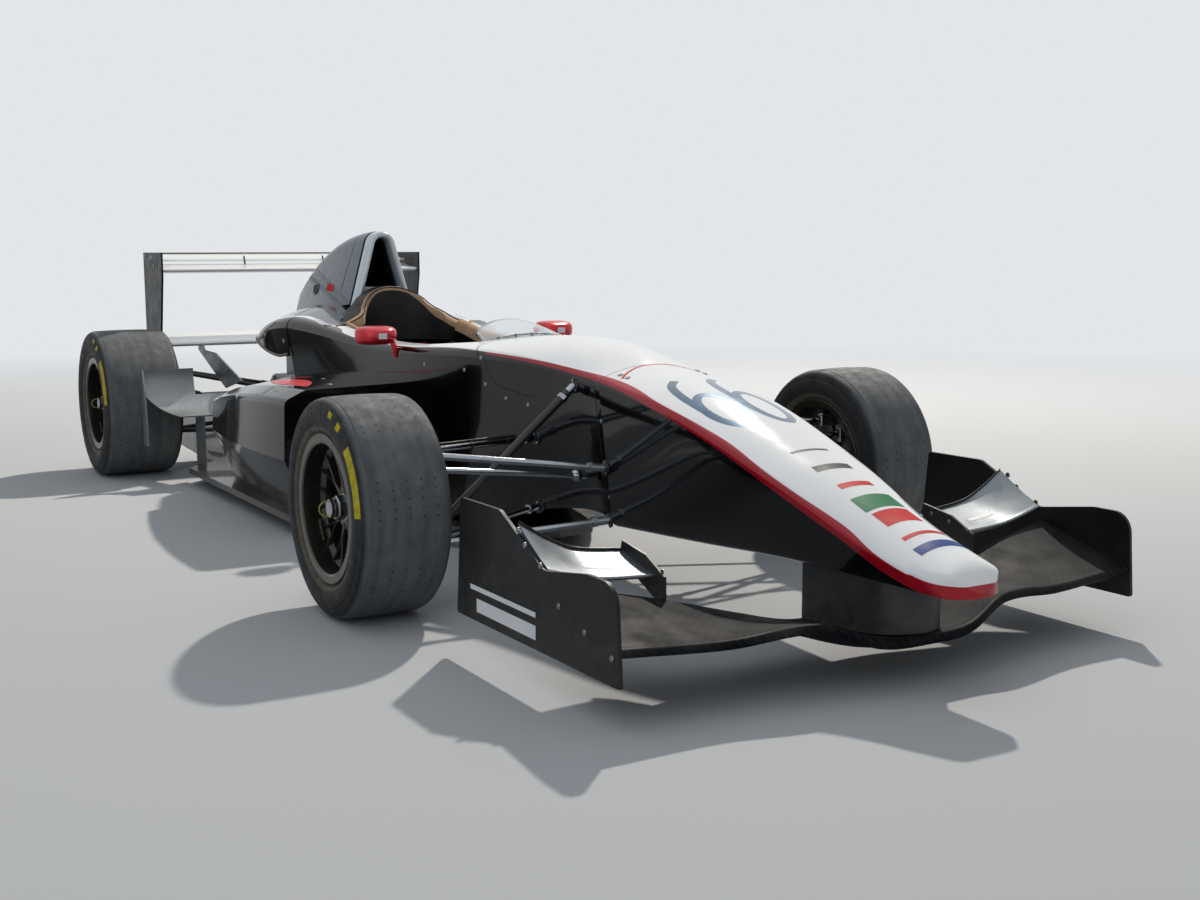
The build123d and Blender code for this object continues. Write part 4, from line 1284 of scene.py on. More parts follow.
    def make_rim_edges(self) -> None:
        """The bright worn ring at the flange's lip, the valve and two stick on weights."""
        shape = Shape()
        half, top = self.rim_width / 2, self.bead + self.flange
        lip = [(top - 0.0035, half + 0.0066), (top - 0.0002, half + 0.0052), (top + 0.0002, half + 0.0015)]
        lip = arc_through(*lip, 5)
        lip += [(r - 0.001, a - 0.0005) for r, a in reversed(lip)]
        shape.lathe(lip, self.centre, self.axis, self.rim_steps)
        base = self.spot(self.bead - 0.010, 81.0, half - 0.030)
        tip = self.spot(self.bead - 0.026, 81.0, half - 0.006)
        shape.tube([base, base.lerp(tip, 0.55)], 0.0035, 10)
        shape.tube([base.lerp(tip, 0.55), tip], 0.0046, 10)
        for k in range(4):
            ends = [self.spot(0.1585, turn + 5.2 * k, half - 0.034) for turn in (200.0, 204.6)]
            shape.tube(ends, 0.0032, 4, flat=2.2)
        self.place(shape, "rim_lip", RIM_EDGE, "rim", 40.0)

    def make_nut(self) -> None:
        """The centre nut with its flats, cone washer and the wire clip that keeps it."""
        face, steel = self.face, Shape()
        outer = [(0.0305 if k % 2 else 0.0275, 30.0 * k) for k in range(12)]
        levels = ((0.96, face + 0.002), (1.0, face + 0.005), (1.0, face + 0.021), (0.93, face + 0.024))
        rows = [[self.spot(r * scale, turn, a) for r, turn in outer] for scale, a in levels]
        rows += [[self.spot(0.0235, turn, a) for _, turn in outer] for a in (face + 0.024, face + 0.002)]
        steel.grid(rows, wrap=True, ring=True)
        washer = [(0.023, face - 0.002), (0.035, face - 0.002), (0.034, face + 0.003), (0.0235, face + 0.005)]
        steel.lathe(washer, self.centre, self.axis, 48)
        spindle = [
            (0.0, face + 0.037), (0.010, face + 0.037), (0.012, face + 0.034), (0.0195, face + 0.034),
            (0.0225, face + 0.031), (0.0228, face),
        ]
        steel.lathe(spindle, self.centre, self.axis, 40, closed=False)
        self.place(steel, "centre_nut", STEEL, "steel", 28.0)
        clip = Shape()
        x, y, z = self.centre
        sign, out = self.side.value, face + 0.046
        ring = [(x, y + sign * (out + 0.019 * math.cos(t)), z + 0.018 * math.sin(t)) for t in around(28)]
        clip.tube(ring, 0.0014, 8, closed=True)
        pin = [(x, y + sign * (out - 0.019), z + k) for k in (-0.0265, 0.0265)]
        clip.tube(pin, 0.0017, 8)
        self.place(clip, "nut_clip", CLIP_WIRE, "steel", 35.0)

    def make_disc(self) -> None:
        """The vented brake disc on its bell."""
        shape, middle, outer, face = Shape(), self.disc_place, self.disc, self.face
        for low, high in ((middle + 0.004, middle + 0.010), (middle - 0.010, middle - 0.004)):
            edge = [
                (0.088, low), (outer - 0.001, low), (outer, low + 0.001), (outer, high - 0.001),
                (outer - 0.001, high), (0.088, high),
            ]
            shape.lathe(edge, self.centre, self.axis, 90)
        for turn in (9.0 * k for k in range(40)):
            ends = [self.spot(0.090, turn, middle), self.spot(outer - 0.003, turn + 8.0, middle)]
            shape.tube(ends, 0.0022, 4, flat=1.9)
        bell = [
            (0.0905, middle - 0.004), (0.0905, middle + 0.004), (0.074, middle + 0.006),
            (0.071, face - 0.050), (0.047, face - 0.046), (0.047, face - 0.052), (0.066, face - 0.056),
            (0.069, middle + 0.002), (0.072, middle - 0.004),
        ]
        shape.lathe(bell, self.centre, self.axis, 60)
        self.place(shape, "brake_disc", DISC_IRON, "cast", 30.0)

    def build(self) -> None:
        """Build every piece of the wheel."""
        self.make_tyre()
        self.make_rim()
        self.make_rim_edges()
        self.make_nut()
        self.make_disc()


# Bodywork details


@dataclass
class BodyGraphics:
    """The vinyl, seams and fasteners that lie on the nose and the tub."""

    frame: dict
    number_width: float = 0.022
    lift: float = 0.0004
    step: float = 0.012

    def __post_init__(self) -> None:
        """Find the body's outside."""
        self.top = Skin(("nose_shell", "monocoque"), self.frame)

    def lay(self, shape: Shape, rows: list[list[Flat]]) -> None:
        """Lay plan rows of x and y on the top of the body."""
        self.top.drape_top(shape, rows, self.lift)

    def digit(self, shape: Shape, left: float, right: float) -> None:
        """One plain six between two y values: a ring near the front and a stem that sweeps back.

        Args:
            shape: The piece that gets it.
            left: The lower y value.
            right: The higher y value.
        """
        low, high, waist = 1.445, 1.135, 1.262
        middle, wide = (left + right) / 2, (right - left) / 2
        centre, tall = (low + waist) / 2, (low - waist) / 2
        ring = [(centre - tall * math.cos(t), middle - wide * math.sin(t)) for t in around(40)]
        self.lay(shape, ribbon(ring, self.number_width, 4, True))
        bends = ((high, 0.1), (1.175, -0.62), (1.255, -0.99), (centre, -1.0))
        stem = smooth_line([(x, middle + share * wide, 0) for x, share in bends], 8)
        self.lay(shape, ribbon([(p.x, p.y) for p in stem], self.number_width, 4))

    def race_number(self) -> None:
        """Two plain digits in blue foil across the nose, read from the front."""
        shape = Shape()
        self.digit(shape, -0.104, -0.012)
        self.digit(shape, 0.012, 0.104)
        place_piece(shape, "race_number", (NUMBER_FOIL,), sharp=60.0)

    def stripes(self) -> None:
        """Plain bars in the sponsors' colours and a thin red arc, with no lettering."""
        shape = Shape()
        arc = arc_through((1.013, -0.130), (0.960, 0.0), (1.013, 0.130), 26)
        self.lay(shape, ribbon(arc, 0.007, 2))
        bars = (
            (1, 1.600, -0.052, 0.052, 0.008), (1, 1.680, -0.050, 0.050, 0.022),
            (0, 1.758, -0.046, 0.044, 0.018), (2, 1.830, -0.055, 0.052, 0.052),
            (4, 1.892, -0.050, 0.046, 0.052), (0, 1.968, -0.055, 0.055, 0.012),
            (3, 2.016, -0.062, 0.062, 0.026),
        )
        for mark, x, start, end, width in bars:
            shape.mark = mark
            self.lay(shape, ribbon(split([(x, start), (x, end)], self.step), width, 4))
        finishes = (VINYL_RED, VINYL_GREY, VINYL_GREEN, VINYL_BLUE, VINYL_RED)
        place_piece(shape, "nose_stripes", finishes, sharp=60.0)

    def seams(self) -> None:
        """The panel gaps on the tub's sides and by the front bulkhead, and the seam round the screen's panel.
        """
        shape = Shape()
        lines = (
            [(0.411, 0.605), (0.424, 0.537), (0.470, 0.505), (0.614, 0.484), (0.640, 0.492)],
            [(0.934, 0.560), (0.934, 0.180)],
        )
        for sign in SIGNS:
            for line in lines:
                self.top.drape_side(shape, ribbon(split(line, self.step), 0.0028, 3), sign, self.lift)
        place_piece(shape, "tub_seams", (SEAM_BLACK_AND_VENT_SHADE,), sharp=60.0)
        top = Shape()
        half = [(0.411, 0.232, 0), (0.352, 0.214, 0), (0.310, 0.165, 0), (0.300, 0.080, 0), (0.298, 0.0, 0)]
        line = smooth_line([(x, -y, z) for x, y, z in half] + half[-2::-1], 10)
        self.lay(top, ribbon([(p.x, p.y) for p in line], 0.0026, 2))
        place_piece(top, "screen_panel_seam", (VINYL_GREY,), sharp=60.0)

    def fasteners(self) -> None:
        """Countersunk screws along the panel gaps, and the plug over the pushrod's hole."""
        shape = Shape()
        spots = (
            (0.396, 0.580), (0.405, 0.505), (0.500, 0.472), (0.600, 0.462), (0.952, 0.450), (0.952, 0.340),
            (0.952, 0.250), (0.300, 0.540), (0.060, 0.540), (-0.060, 0.300),
        )
        for sign in SIGNS:
            for x, z in spots:
                start, way = (x, sign * OUTSIDE, z), (0.0, -sign, 0.0)
                self.top.stud(shape, start, way, (0.006, 0.0025), steps=16)
                self.top.stud(shape, start, way, (0.0026, 0.0012), sink=-self.lift, steps=6)
        for x in (0.985, 1.020):
            for y in (-0.118, 0.118):
                self.top.stud(shape, (x, y, OUTSIDE), DOWN, (0.008, 0.003))
        place_piece(shape, "tub_screws", (STEEL,), sharp=30.0)

    def build(self) -> None:
        """Lay every mark on the nose and the tub."""
        self.race_number()
        self.stripes()
        self.seams()
        self.fasteners()


@dataclass
class CoverDetails:
    """What lies on the engine cover, the hoop's cowl and the sidepods.

    Each red stroke has its tip, a point on its inner and outer edge, and its end. The hoop has
    its outer and inner half width, foot and top.
    """

    frame: dict
    strokes: tuple[tuple[Flat, Flat, Flat, Flat], ...] = (
        ((-0.740, 0.472), (-0.440, 0.442), (-0.460, 0.542), (-0.235, 0.525)),
        ((-0.950, 0.488), (-0.745, 0.385), (-0.765, 0.440), (-0.600, 0.372)),
    )
    hoop_outer: Point = (0.1366, 0.600, 0.955)
    hoop_inner: Point = (0.1124, 0.600, 0.931)
    hoop_place: float = -0.900
    hoop_depth: float = 0.030
    lean: float = 15.3

    def cowl(self) -> None:
        """The cowl's panel gap, its oval filler vent and a small red mark."""
        skin = Skin(("hoop_cowl",), self.frame)
        gap, vent, mark = Shape(), Shape(), Shape()
        for sign in SIGNS:
            skin.drape_side(gap, ribbon(split([(-1.022, 0.932), (-1.060, 0.742)], 0.01), 0.003, 2), sign)
            skin.drape_side(mark, ribbon(split([(-1.150, 0.742), (-1.245, 0.748)], 0.01), 0.026, 3), sign)
            self.vent(skin, vent, sign)
        place_piece(gap, "cowl_gap", (SEAM_BLACK_AND_VENT_SHADE,), sharp=60.0)
        place_piece(mark, "cowl_mark", (VINYL_RED,), sharp=60.0)
        place_piece(vent, "cowl_vent", (RIM_EDGE, SEAM_BLACK_AND_VENT_SHADE), sharp=30.0)

    def vent(self, skin: Skin, shape: Shape, sign: float) -> None:
        """One oval vent on the cowl's side: a bright ring round a flat dark oval, the painted shade of its
        opening.

        Args:
            skin: The cowl's outside.
            shape: The piece that gets it.
            sign: The side's sign of y.
        """
        found = skin.touch((-1.400, sign * OUTSIDE, 0.735), (0.0, -sign, 0.0))
        if not found:
            return
        place, facing = found
        along = (Vector((1, 0, 0)) - facing * facing.x).normalized()
        over = facing.cross(along)
        ring = [along * 0.034 * math.cos(t) + over * 0.021 * math.sin(t) for t in around(28)]
        shape.mark = 0
        shape.tube([place + facing * 0.001 + p for p in ring], 0.0032, 8, closed=True)
        # A flat near black oval laid on the skin: painted shade where the vent opens
        shape.mark = 1
        middle = place + facing * 0.0012
        shape.grid([[middle + p * share for p in ring] for share in (0.98, 0.5, 0.02)], wrap=True)

    def arch(self, half: float, foot: float, top: float, steps: int = 24) -> list[Flat]:
        """An arch across the car: a leaning leg, a round top and the other leg.

        Args:
            half: Half the width at the feet.
            foot: The height of the feet.
            top: The height of the crown.
            steps: Stretches round the crown.

        Returns:
            Points from the left foot over the top to the right one, as y and z.
        """
        lean = math.radians(self.lean)
        radius = (half * math.cos(lean) - (top - foot) * math.sin(lean)) / (1 - math.sin(lean))
        turns = [lean + (math.pi - 2 * lean) * k / steps for k in range(steps + 1)]
        crown = [(radius * math.cos(t), top - radius + radius * math.sin(t)) for t in turns]
        start, end = Vector((half, foot)), Vector(crown[0])
        leg = [tuple(start.lerp(end, k / 12)) for k in range(12)]
        return leg + crown + [(-y, z) for y, z in reversed(leg)]

    def hoop(self) -> None:
        """The hoop's rounded tube with the plate between its legs."""
        shape, rows = Shape(), []
        for (ay, az), (by, bz) in zip(self.arch(*self.hoop_outer), self.arch(*self.hoop_inner)):
            middle = Vector((self.hoop_place, (ay + by) / 2, (az + bz) / 2))
            across, deep = Vector((0.0, (ay - by) / 2, (az - bz) / 2)), Vector((self.hoop_depth, 0, 0))
            turns = [(squarish(math.cos(t), 0.75), squarish(math.sin(t), 0.55)) for t in around(24)]
            rows.append([middle + across * a + deep * b for a, b in turns])
        shape.grid(rows, wrap=True, caps=True)
        half = ((0.110, 0.602), (0.080, 0.742), (0.070, 0.7535))
        foot = [*half, *((-y, z) for y, z in reversed(half))]
        shape.plate([(-0.918, y, z) for y, z in foot], (0.036, 0, 0))
        stands_for = ("roll_hoop",)
        place_piece(shape, "hoop_tube", (SILVER_PAINT,), CHASSIS, stands_for, sharp=50.0)

    def intake(self) -> None:
        """The black wall of the intake behind the hoop, and its back."""
        liner, mouth = Shape(), self.arch(0.0690, 0.755, 0.930)
        depths, middle = (-0.9315, -0.980, -1.040, -1.100, -1.127), 0.840
        back = depths[-1]
        liner.grid([[(x, y, z) for y, z in mouth] for x in depths], wrap=True)
        rows = [[(back, y * s, middle + (z - middle) * s) for y, z in mouth] for s in (1.0, 0.5, 0.02)]
        liner.grid(rows, wrap=True)
        place_piece(liner, "intake_liner", (INTAKE_BLACK,), sharp=50.0)

    def flashes(self) -> None:
        """The red leaf shapes on top of the sidepods."""
        shape = Shape()
        for side in Side:
            skin, sign = Skin((f"sidepod_{side.word}",), self.frame), float(side.value)
            for tip, inner, outer, end in self.strokes:
                pairs = zip(arc_through(tip, outer, end, 24), arc_through(tip, inner, end, 24))
                rows = [[tuple(Vector(a).lerp(Vector(b), j / 8)) for j in range(9)] for a, b in pairs]
                skin.drape_top(shape, [[(x, sign * y) for x, y in row] for row in rows])
        place_piece(shape, "sidepod_flashes", (FLASH_RED,), sharp=60.0)

    def edge_strip(self) -> None:
        """The bright folded edge along the bottom of the engine cover."""
        shape = Shape()
        skin = Skin(("engine_cover",), self.frame)
        bends = ((-0.972, 0.509), (-1.065, 0.500), (-1.215, 0.518), (-1.365, 0.550), (-1.600, 0.598))
        line = smooth_line([(x, 0.0, z) for x, z in bends], 8)
        for sign in SIGNS:
            found = [skin.touch((p.x, sign * OUTSIDE, p.z + 0.004), (0.0, -sign, 0.0)) for p in line]
            shape.tube([hit[0] + hit[1] * 0.001 for hit in found if hit], 0.0042, 8, flat=1.2)
        place_piece(shape, "cover_edge_strip", (RIM_EDGE,))

    def fasteners(self) -> None:
        """Quarter turn fasteners along the engine cover and on the sidepods."""
        shape = Shape()
        skin = Skin(("engine_cover", "sidepod_left", "sidepod_right"), self.frame)
        for sign in SIGNS:
            for x, z in ((-1.000, 0.560), (-1.180, 0.575), (-1.340, 0.595), (-1.480, 0.600)):
                skin.stud(shape, (x, sign * OUTSIDE, z), (0.0, -sign, 0.0), (0.009, 0.003))
            for x, y in ((-0.260, 0.440), (-0.480, 0.380), (-0.800, 0.400), (-0.300, 0.600), (-0.600, 0.640)):
                skin.stud(shape, (x, sign * y, OUTSIDE), DOWN, (0.008, 0.0028))
        place_piece(shape, "cover_fasteners", (STEEL,), sharp=30.0)

    def build(self) -> None:
        """Build every detail of the cover and the sidepods."""
        self.hoop()
        self.intake()
        self.cowl()
        self.flashes()
        self.edge_strip()
        self.fasteners()


@dataclass
class Mirrors:
    """The two red door mirrors: rounded pods with glass, on thin stalks."""

    middle: Point = (-0.140, 0.318, 0.620)
    half: Point = (0.035, 0.066, 0.030)
    corners: int = 28
    fullness: float = 0.55

    def oval(self, back: float, share_y: float, share_z: float) -> list[Point]:
        """The pod's outline at a distance from its middle, with its width and height scaled.

        Args:
            back: Distance forward of the pod's middle.
            share_y: Scale of its width.
            share_z: Scale of its height.

        Returns:
            The points.
        """
        (mx, my, mz), (_, hy, hz) = self.middle, self.half
        return [
            (mx + back, my + share_y * hy * squarish(math.cos(t), self.fullness),
             mz + share_z * hz * squarish(math.sin(t), self.fullness))
            for t in around(self.corners)
        ]

    def pod(self, shape: Shape) -> None:
        """The left pod, round in front and open behind for the glass.

        Args:
            shape: The piece that gets it.
        """
        hx = self.half[0]
        rows = [self.oval(0.006 - hx, 0.93, 0.90)]
        for k in range(9):
            shrink = math.sqrt(1 - 0.86 * (k / 8) ** 2.6)
            rows.append(self.oval(hx * (k / 4 - 1), shrink, shrink))
        rows.append(self.oval(hx, 0.3 * shrink, 0.3 * shrink))
        shape.grid(rows, wrap=True)
        last = len(shape.points)
        shape.face(tuple(range(last - self.corners, last)))

    def build(self) -> None:
        """Both mirrors with their glass, stalks and a plain white label on each pod."""
        pods, glass, labels = Shape(), Shape(), Shape()
        self.pod(pods)
        mx, my, mz = self.middle
        hx = self.half[0]
        foot, bend = (mx + 0.004, my - 0.056, 0.552), (mx + 0.006, my - 0.052, 0.575)
        stalk = smooth_line([foot, bend, (mx + 0.004, my - 0.044, mz - 0.02)], 4)
        pods.tube(stalk, [0.011 - 0.0003 * k for k in range(len(stalk))], 10, flat=0.6)
        glass.grid([self.oval(0.004 - hx, 0.92 * s, 0.88 * s) for s in (1.0, 0.6, 0.05)], wrap=True)
        front = mx + hx + 0.0006
        labels.grid([[(front, y, z) for y in (my - 0.014, my + 0.014)] for z in (mz - 0.009, mz + 0.009)])
        for shape in (labels, pods, glass):
            shape.both_sides()
        place_piece(labels, "mirror_labels", (VINYL_WHITE,), sharp=60.0)
        place_piece(pods, "mirror_pods", (RED_PAINT,), replaces=("mirrors",), sharp=50.0)
        place_piece(glass, "mirror_glasses", (MIRROR_GLASS,))


# Smooth skins of the nose, the front wing and the cockpit


def between_rows(rows: Table, place: float) -> list[float]:
    """The columns of a table at a place between its rows, along a smooth line.

    Args:
        rows: The table, whose first column is the place, in rising order.
        place: Where to read it.

    Returns:
        Every column but the first.
    """
    last = len(rows) - 2
    k = min(max(sum(row[0] <= place for row in rows) - 1, 0), last)
    near, far = rows[k], rows[k + 1]
    before, after = rows[max(k - 1, 0)], rows[min(k + 2, last + 1)]
    step = far[0] - near[0]
    t = (place - near[0]) / step
    out = []
    for c in range(1, len(near)):
        rise = (far[c] - before[c]) / (far[0] - before[0]) * step
        fall = (after[c] - near[c]) / (after[0] - near[0]) * step
        cube = (2 * t**3 - 3 * t**2 + 1) * near[c] + (t**3 - 2 * t**2 + t) * rise
        out.append(cube + (3 * t**2 - 2 * t**3) * far[c] + (t**3 - t**2) * fall)
    return out


def round_corner(corner: Flat, before: Flat, after: Flat, radius: float, steps: int) -> list[Flat]:
    """Points of the arc that rounds a corner between two straight runs.

    Args:
        corner: The corner itself.
        before: A point on the run that comes in.
        after: A point on the run that goes out.
        radius: The arc's radius.
        steps: Stretches along it.

    Returns:
        The arc's points.
    """
    spot = Vector(corner)
    come, go = (Vector(before) - spot).normalized(), (Vector(after) - spot).normalized()
    half = math.acos(max(-1.0, min(1.0, come.dot(go)))) / 2
    reach = radius / math.tan(half)
    middle = spot + (come + go).normalized() * (radius / math.sin(half))
    start, end = spot + come * reach, spot + go * reach
    first = math.atan2(start.y - middle.y, start.x - middle.x)
    turn = (math.atan2(end.y - middle.y, end.x - middle.x) - first + math.pi) % math.tau - math.pi
    turns = [first + turn * k / steps for k in range(steps + 1)]
    return [(middle.x + radius * math.cos(t), middle.y + radius * math.sin(t)) for t in turns]


def soft_limit(value: float, limit: float, power: float = 12.0) -> float:
    """A value that never passes a limit, with a soft turn where they meet.

    Args:
        value: The value.
        limit: What it never passes.
        power: How tight the turn is.

    Returns:
        The held value.
    """
    if value <= 0 or limit <= 0:
        return 0.0
    return value / (1 + (value / limit) ** power) ** (1 / power)


@dataclass
class NoseSkin:
    """The nose cone's painted shell, rounded at its tip in plan and from the side.

    Each row has its place and half widths of the top, heights of the top's edge and middle, half
    width and height of the floor, and the radius of the upper and lower corner. The brow is the
    line from the tip's front up to the top.
    """

    rows: Table = (
        (0.958, 0.168, 0.556, 0.590, 0.125, 0.172, 0.020, 0.024),
        (1.285, 0.166, 0.503, 0.537, 0.108, 0.188, 0.020, 0.020),
        (1.635, 0.143, 0.394, 0.430, 0.098, 0.210, 0.018, 0.016),
        (1.915, 0.113, 0.286, 0.333, 0.086, 0.216, 0.012, 0.010),
        (2.155, 0.096, 0.228, 0.264, 0.072, 0.214, 0.006, 0.006),
    )
    start: float = 0.958
    round_start: float = 1.863
    tip: float = 2.135
    tip_radius: float = 0.100
    brow: tuple[Flat, Flat, Flat] = ((2.135, 0.224), (2.111, 0.262), (2.030, 0.306))
    spread: float = 5.0

    def half_section(self, x: float) -> list[Flat]:
        """Half of the shell's cut, from the middle of its floor to the middle of its crown.

        Args:
            x: Where along the car.

        Returns:
            Points as y and z.
        """
        top, edge, crown, low, floor, round_top, round_low = between_rows(self.rows, x)
        rise = crown - edge
        reach = (top * top + rise * rise) / (2 * rise)
        slope = Vector((-(edge - crown + reach), top)).normalized()
        out = [(low * k / 4 * 0.75, floor) for k in range(4)]
        out += round_corner((low, floor), (0.0, floor), (top, edge), round_low, 6)
        out += [(low + (top - low) * k / 8, floor + (edge - floor) * k / 8) for k in range(2, 7)]
        corner = round_corner((top, edge), (low, floor), (top + slope.x, edge + slope.y), round_top, 8)
        out += corner
        start = corner[-1][0]
        for k in range(1, 17):
            y = start * (1 - k / 16)
            out.append((y, crown - reach + math.sqrt(reach * reach - y * y)))
        return out

    def limits(self, x: float) -> Flat:
        """How wide and how high the tip lets the shell be.

        Args:
            x: Where along the car.

        Returns:
            Half the width, and the height above the ground.
        """
        middle = self.tip - self.tip_radius
        wide = self.tip_radius + self.spread * (middle - x)
        if x > middle:
            wide = math.sqrt(max(self.tip_radius**2 - (x - middle) ** 2, 0.0))
        front, _, (rear, top) = self.brow
        if x < rear:
            return wide, top + self.spread * (rear - x)
        line = arc_through(*self.brow, 40)
        for (ax, az), (bx, bz) in zip(line, line[1:]):
            if bx <= x <= ax:
                return wide, az + (bz - az) * (ax - x) / max(ax - bx, 1e-9)
        return wide, front[1]

    def build(self) -> None:
        """Skin the nose."""
        places = [self.start + (self.round_start - self.start) * k / 36 for k in range(37)]
        turns = [0.5 * math.pi * k / 34 for k in range(1, 35)]
        places += [self.round_start + (self.tip - self.round_start) * math.sin(t) for t in turns]
        rows = []
        for x in places:
            wide, high = self.limits(x)
            section = self.half_section(x)
            floor = section[0][1]
            half = [(soft_limit(y, wide), floor + soft_limit(z - floor, high - floor)) for y, z in section]
            rows.append([(x, y, z) for y, z in half] + [(x, -y, z) for y, z in reversed(half[1:-1])])
        shape = Shape()
        shape.grid(rows, wrap=True, caps=True)
        place_piece(shape, "nose_shell", (BODY_PAINT,), CHASSIS, ("nose_cone",), sharp=42.0)


@dataclass
class FrontWing:
    """The worn laminate of the main plane and flaps, and the screws of the endplates.

    Each row has its place across the car, the place and height of the leading and trailing edge,
    and the thickness.
    """

    frame: dict
    main_rows: Table = (
        (-0.687, 1.920, 0.150, 1.655, 0.224, 0.020), (-0.450, 1.933, 0.137, 1.665, 0.172, 0.024),
        (-0.250, 1.963, 0.150, 1.675, 0.118, 0.026), (-0.120, 1.993, 0.108, 1.680, 0.087, 0.026),
        (0.0, 2.000, 0.103, 1.680, 0.084, 0.026), (0.120, 1.993, 0.108, 1.680, 0.087, 0.026),
        (0.250, 1.963, 0.150, 1.675, 0.118, 0.026), (0.450, 1.933, 0.137, 1.665, 0.172, 0.024),
        (0.687, 1.920, 0.150, 1.655, 0.224, 0.020),
    )
    flap_rows: Table = (
        (0.436, 1.643, 0.214, 1.517, 0.244, 0.011), (0.560, 1.643, 0.222, 1.515, 0.260, 0.011),
        (0.622, 1.643, 0.234, 1.515, 0.288, 0.011), (0.687, 1.643, 0.252, 1.514, 0.328, 0.011),
    )

    def section(self, y: float, row: list[float]) -> list[Point]:
        """The closed cut of a wing at one y, hollow side up, with a round nose and a blunt tail.

        Args:
            y: Where across the car.
            row: Place and height of both edges, and the thickness.

        Returns:
            The points.
        """
        lead_x, lead_z, trail_x, trail_z, thick = row
        nose, tail = Vector((lead_x, lead_z)), Vector((trail_x, trail_z))
        chord = (tail - nose).length
        along = (tail - nose) / chord
        up = Vector((along.y, -along.x)) if along.x < 0 else Vector((-along.y, along.x))
        high = nose + along * (0.05 * chord) + up * (0.30 * thick)
        low = nose + along * (0.06 * chord) - up * (0.42 * thick)
        middle_high = nose + along * (0.5 * chord) - up * (0.02 * thick)
        middle_low = nose + along * (0.42 * chord) - up * (0.95 * thick)
        tail_high, tail_low = tail + up * 0.0012, tail - up * 0.0012
        line = arc_through(low[:], nose[:], high[:], 12)
        line += arc_through(high[:], middle_high[:], tail_high[:], 16)[1:]
        line += arc_through(tail_low[:], middle_low[:], low[:], 16)[:-1]
        return [(x, y, z) for x, z in line]

    def skin(self, shape: Shape, rows: Table, steps: int) -> None:
        """Skin a wing through its table of sections.

        Args:
            shape: The piece that gets it.
            rows: The table.
            steps: Stretches from its first row to its last.
        """
        first, last = rows[0][0], rows[-1][0]
        places = [first + (last - first) * k / steps for k in range(steps + 1)]
        shape.grid([self.section(y, between_rows(rows, y)) for y in places], wrap=True, caps=True)

    def planes(self) -> None:
        """The main plane and the two flaps."""
        main, flaps = Shape(), Shape()
        self.skin(main, self.main_rows, 90)
        self.skin(flaps, self.flap_rows, 24)
        flaps.both_sides()
        rows = (
            (main, "wing_laminate", WING_CARBON, "front_wing_main", "carbon"),
            (flaps, "flap_metal", FLAP_SILVER, "front_flaps", "bright_carbon"),
        )
        for shape, name, finish, node, slot in rows:
            place_piece(shape, name, (finish,), CHASSIS, (node,), sharp=50.0)

    def gurney(self) -> None:
        """The small upright strip along each flap's tail."""
        shape = Shape()
        cut = ((-0.0005, -0.001), (0.0012, 0.007), (-0.0002, 0.0075), (-0.0022, -0.0005))
        rows = []
        for k in range(17):
            y = 0.438 + 0.247 * k / 16
            _, _, x, z, _ = between_rows(self.flap_rows, y)
            rows.append([(x + a, y, z + b) for a, b in cut])
        shape.grid(rows, wrap=True, caps=True)
        shape.both_sides()
        place_piece(shape, "flap_gurneys", (SATIN_BLACK,))

    def screws(self) -> None:
        """Button screws through the endplates, the flap supports and the flap's slot."""
        shape = Shape()
        low = ((1.900, 0.140), (1.800, 0.166), (1.700, 0.196))
        for x, z in (*low, (1.625, 0.262), (1.560, 0.292), (1.530, 0.318)):
            shape.button((x, 0.6945, z))
        for x, z in ((1.660, 0.226), (1.600, 0.236), (1.540, 0.246)):
            shape.disc((x, 0.4305, z), (0, -1, 0), 0.0050, 0.0026, 16)
        shape.both_sides()
        place_piece(shape, "wing_screws", (STEEL,), sharp=30.0)

    def marks(self) -> None:
        """Plain white bars on the endplates and small plain labels on the flaps."""
        plates, flaps = Skin(("front_endplates",), self.frame), Skin(("flap_metal",), self.frame)
        bars, label = Shape(), Shape()
        for sign in SIGNS:
            for start, end, z, width in ((1.300, 1.602, 0.156, 0.0110), (1.330, 1.602, 0.1190, 0.0300)):
                plates.drape_side(bars, ribbon([(start, z), (end, z)], width, 2), sign, 0.0004)
            across = [sign * y for y in (0.500, 0.520, 0.540, 0.560, 0.580)]
            rows = [[(x, y) for y in across] for x in (1.585, 1.592, 1.599)]
            flaps.drape_top(label, rows, 0.0006)
        place_piece(bars, "endplate_bars", (VINYL_WHITE,), sharp=60.0)
        place_piece(label, "flap_labels", (VINYL_WHITE,), sharp=60.0)

    def build(self) -> None:
        """Build every piece of the front wing."""
        self.planes()
        self.gurney()
        self.screws()
        self.marks()


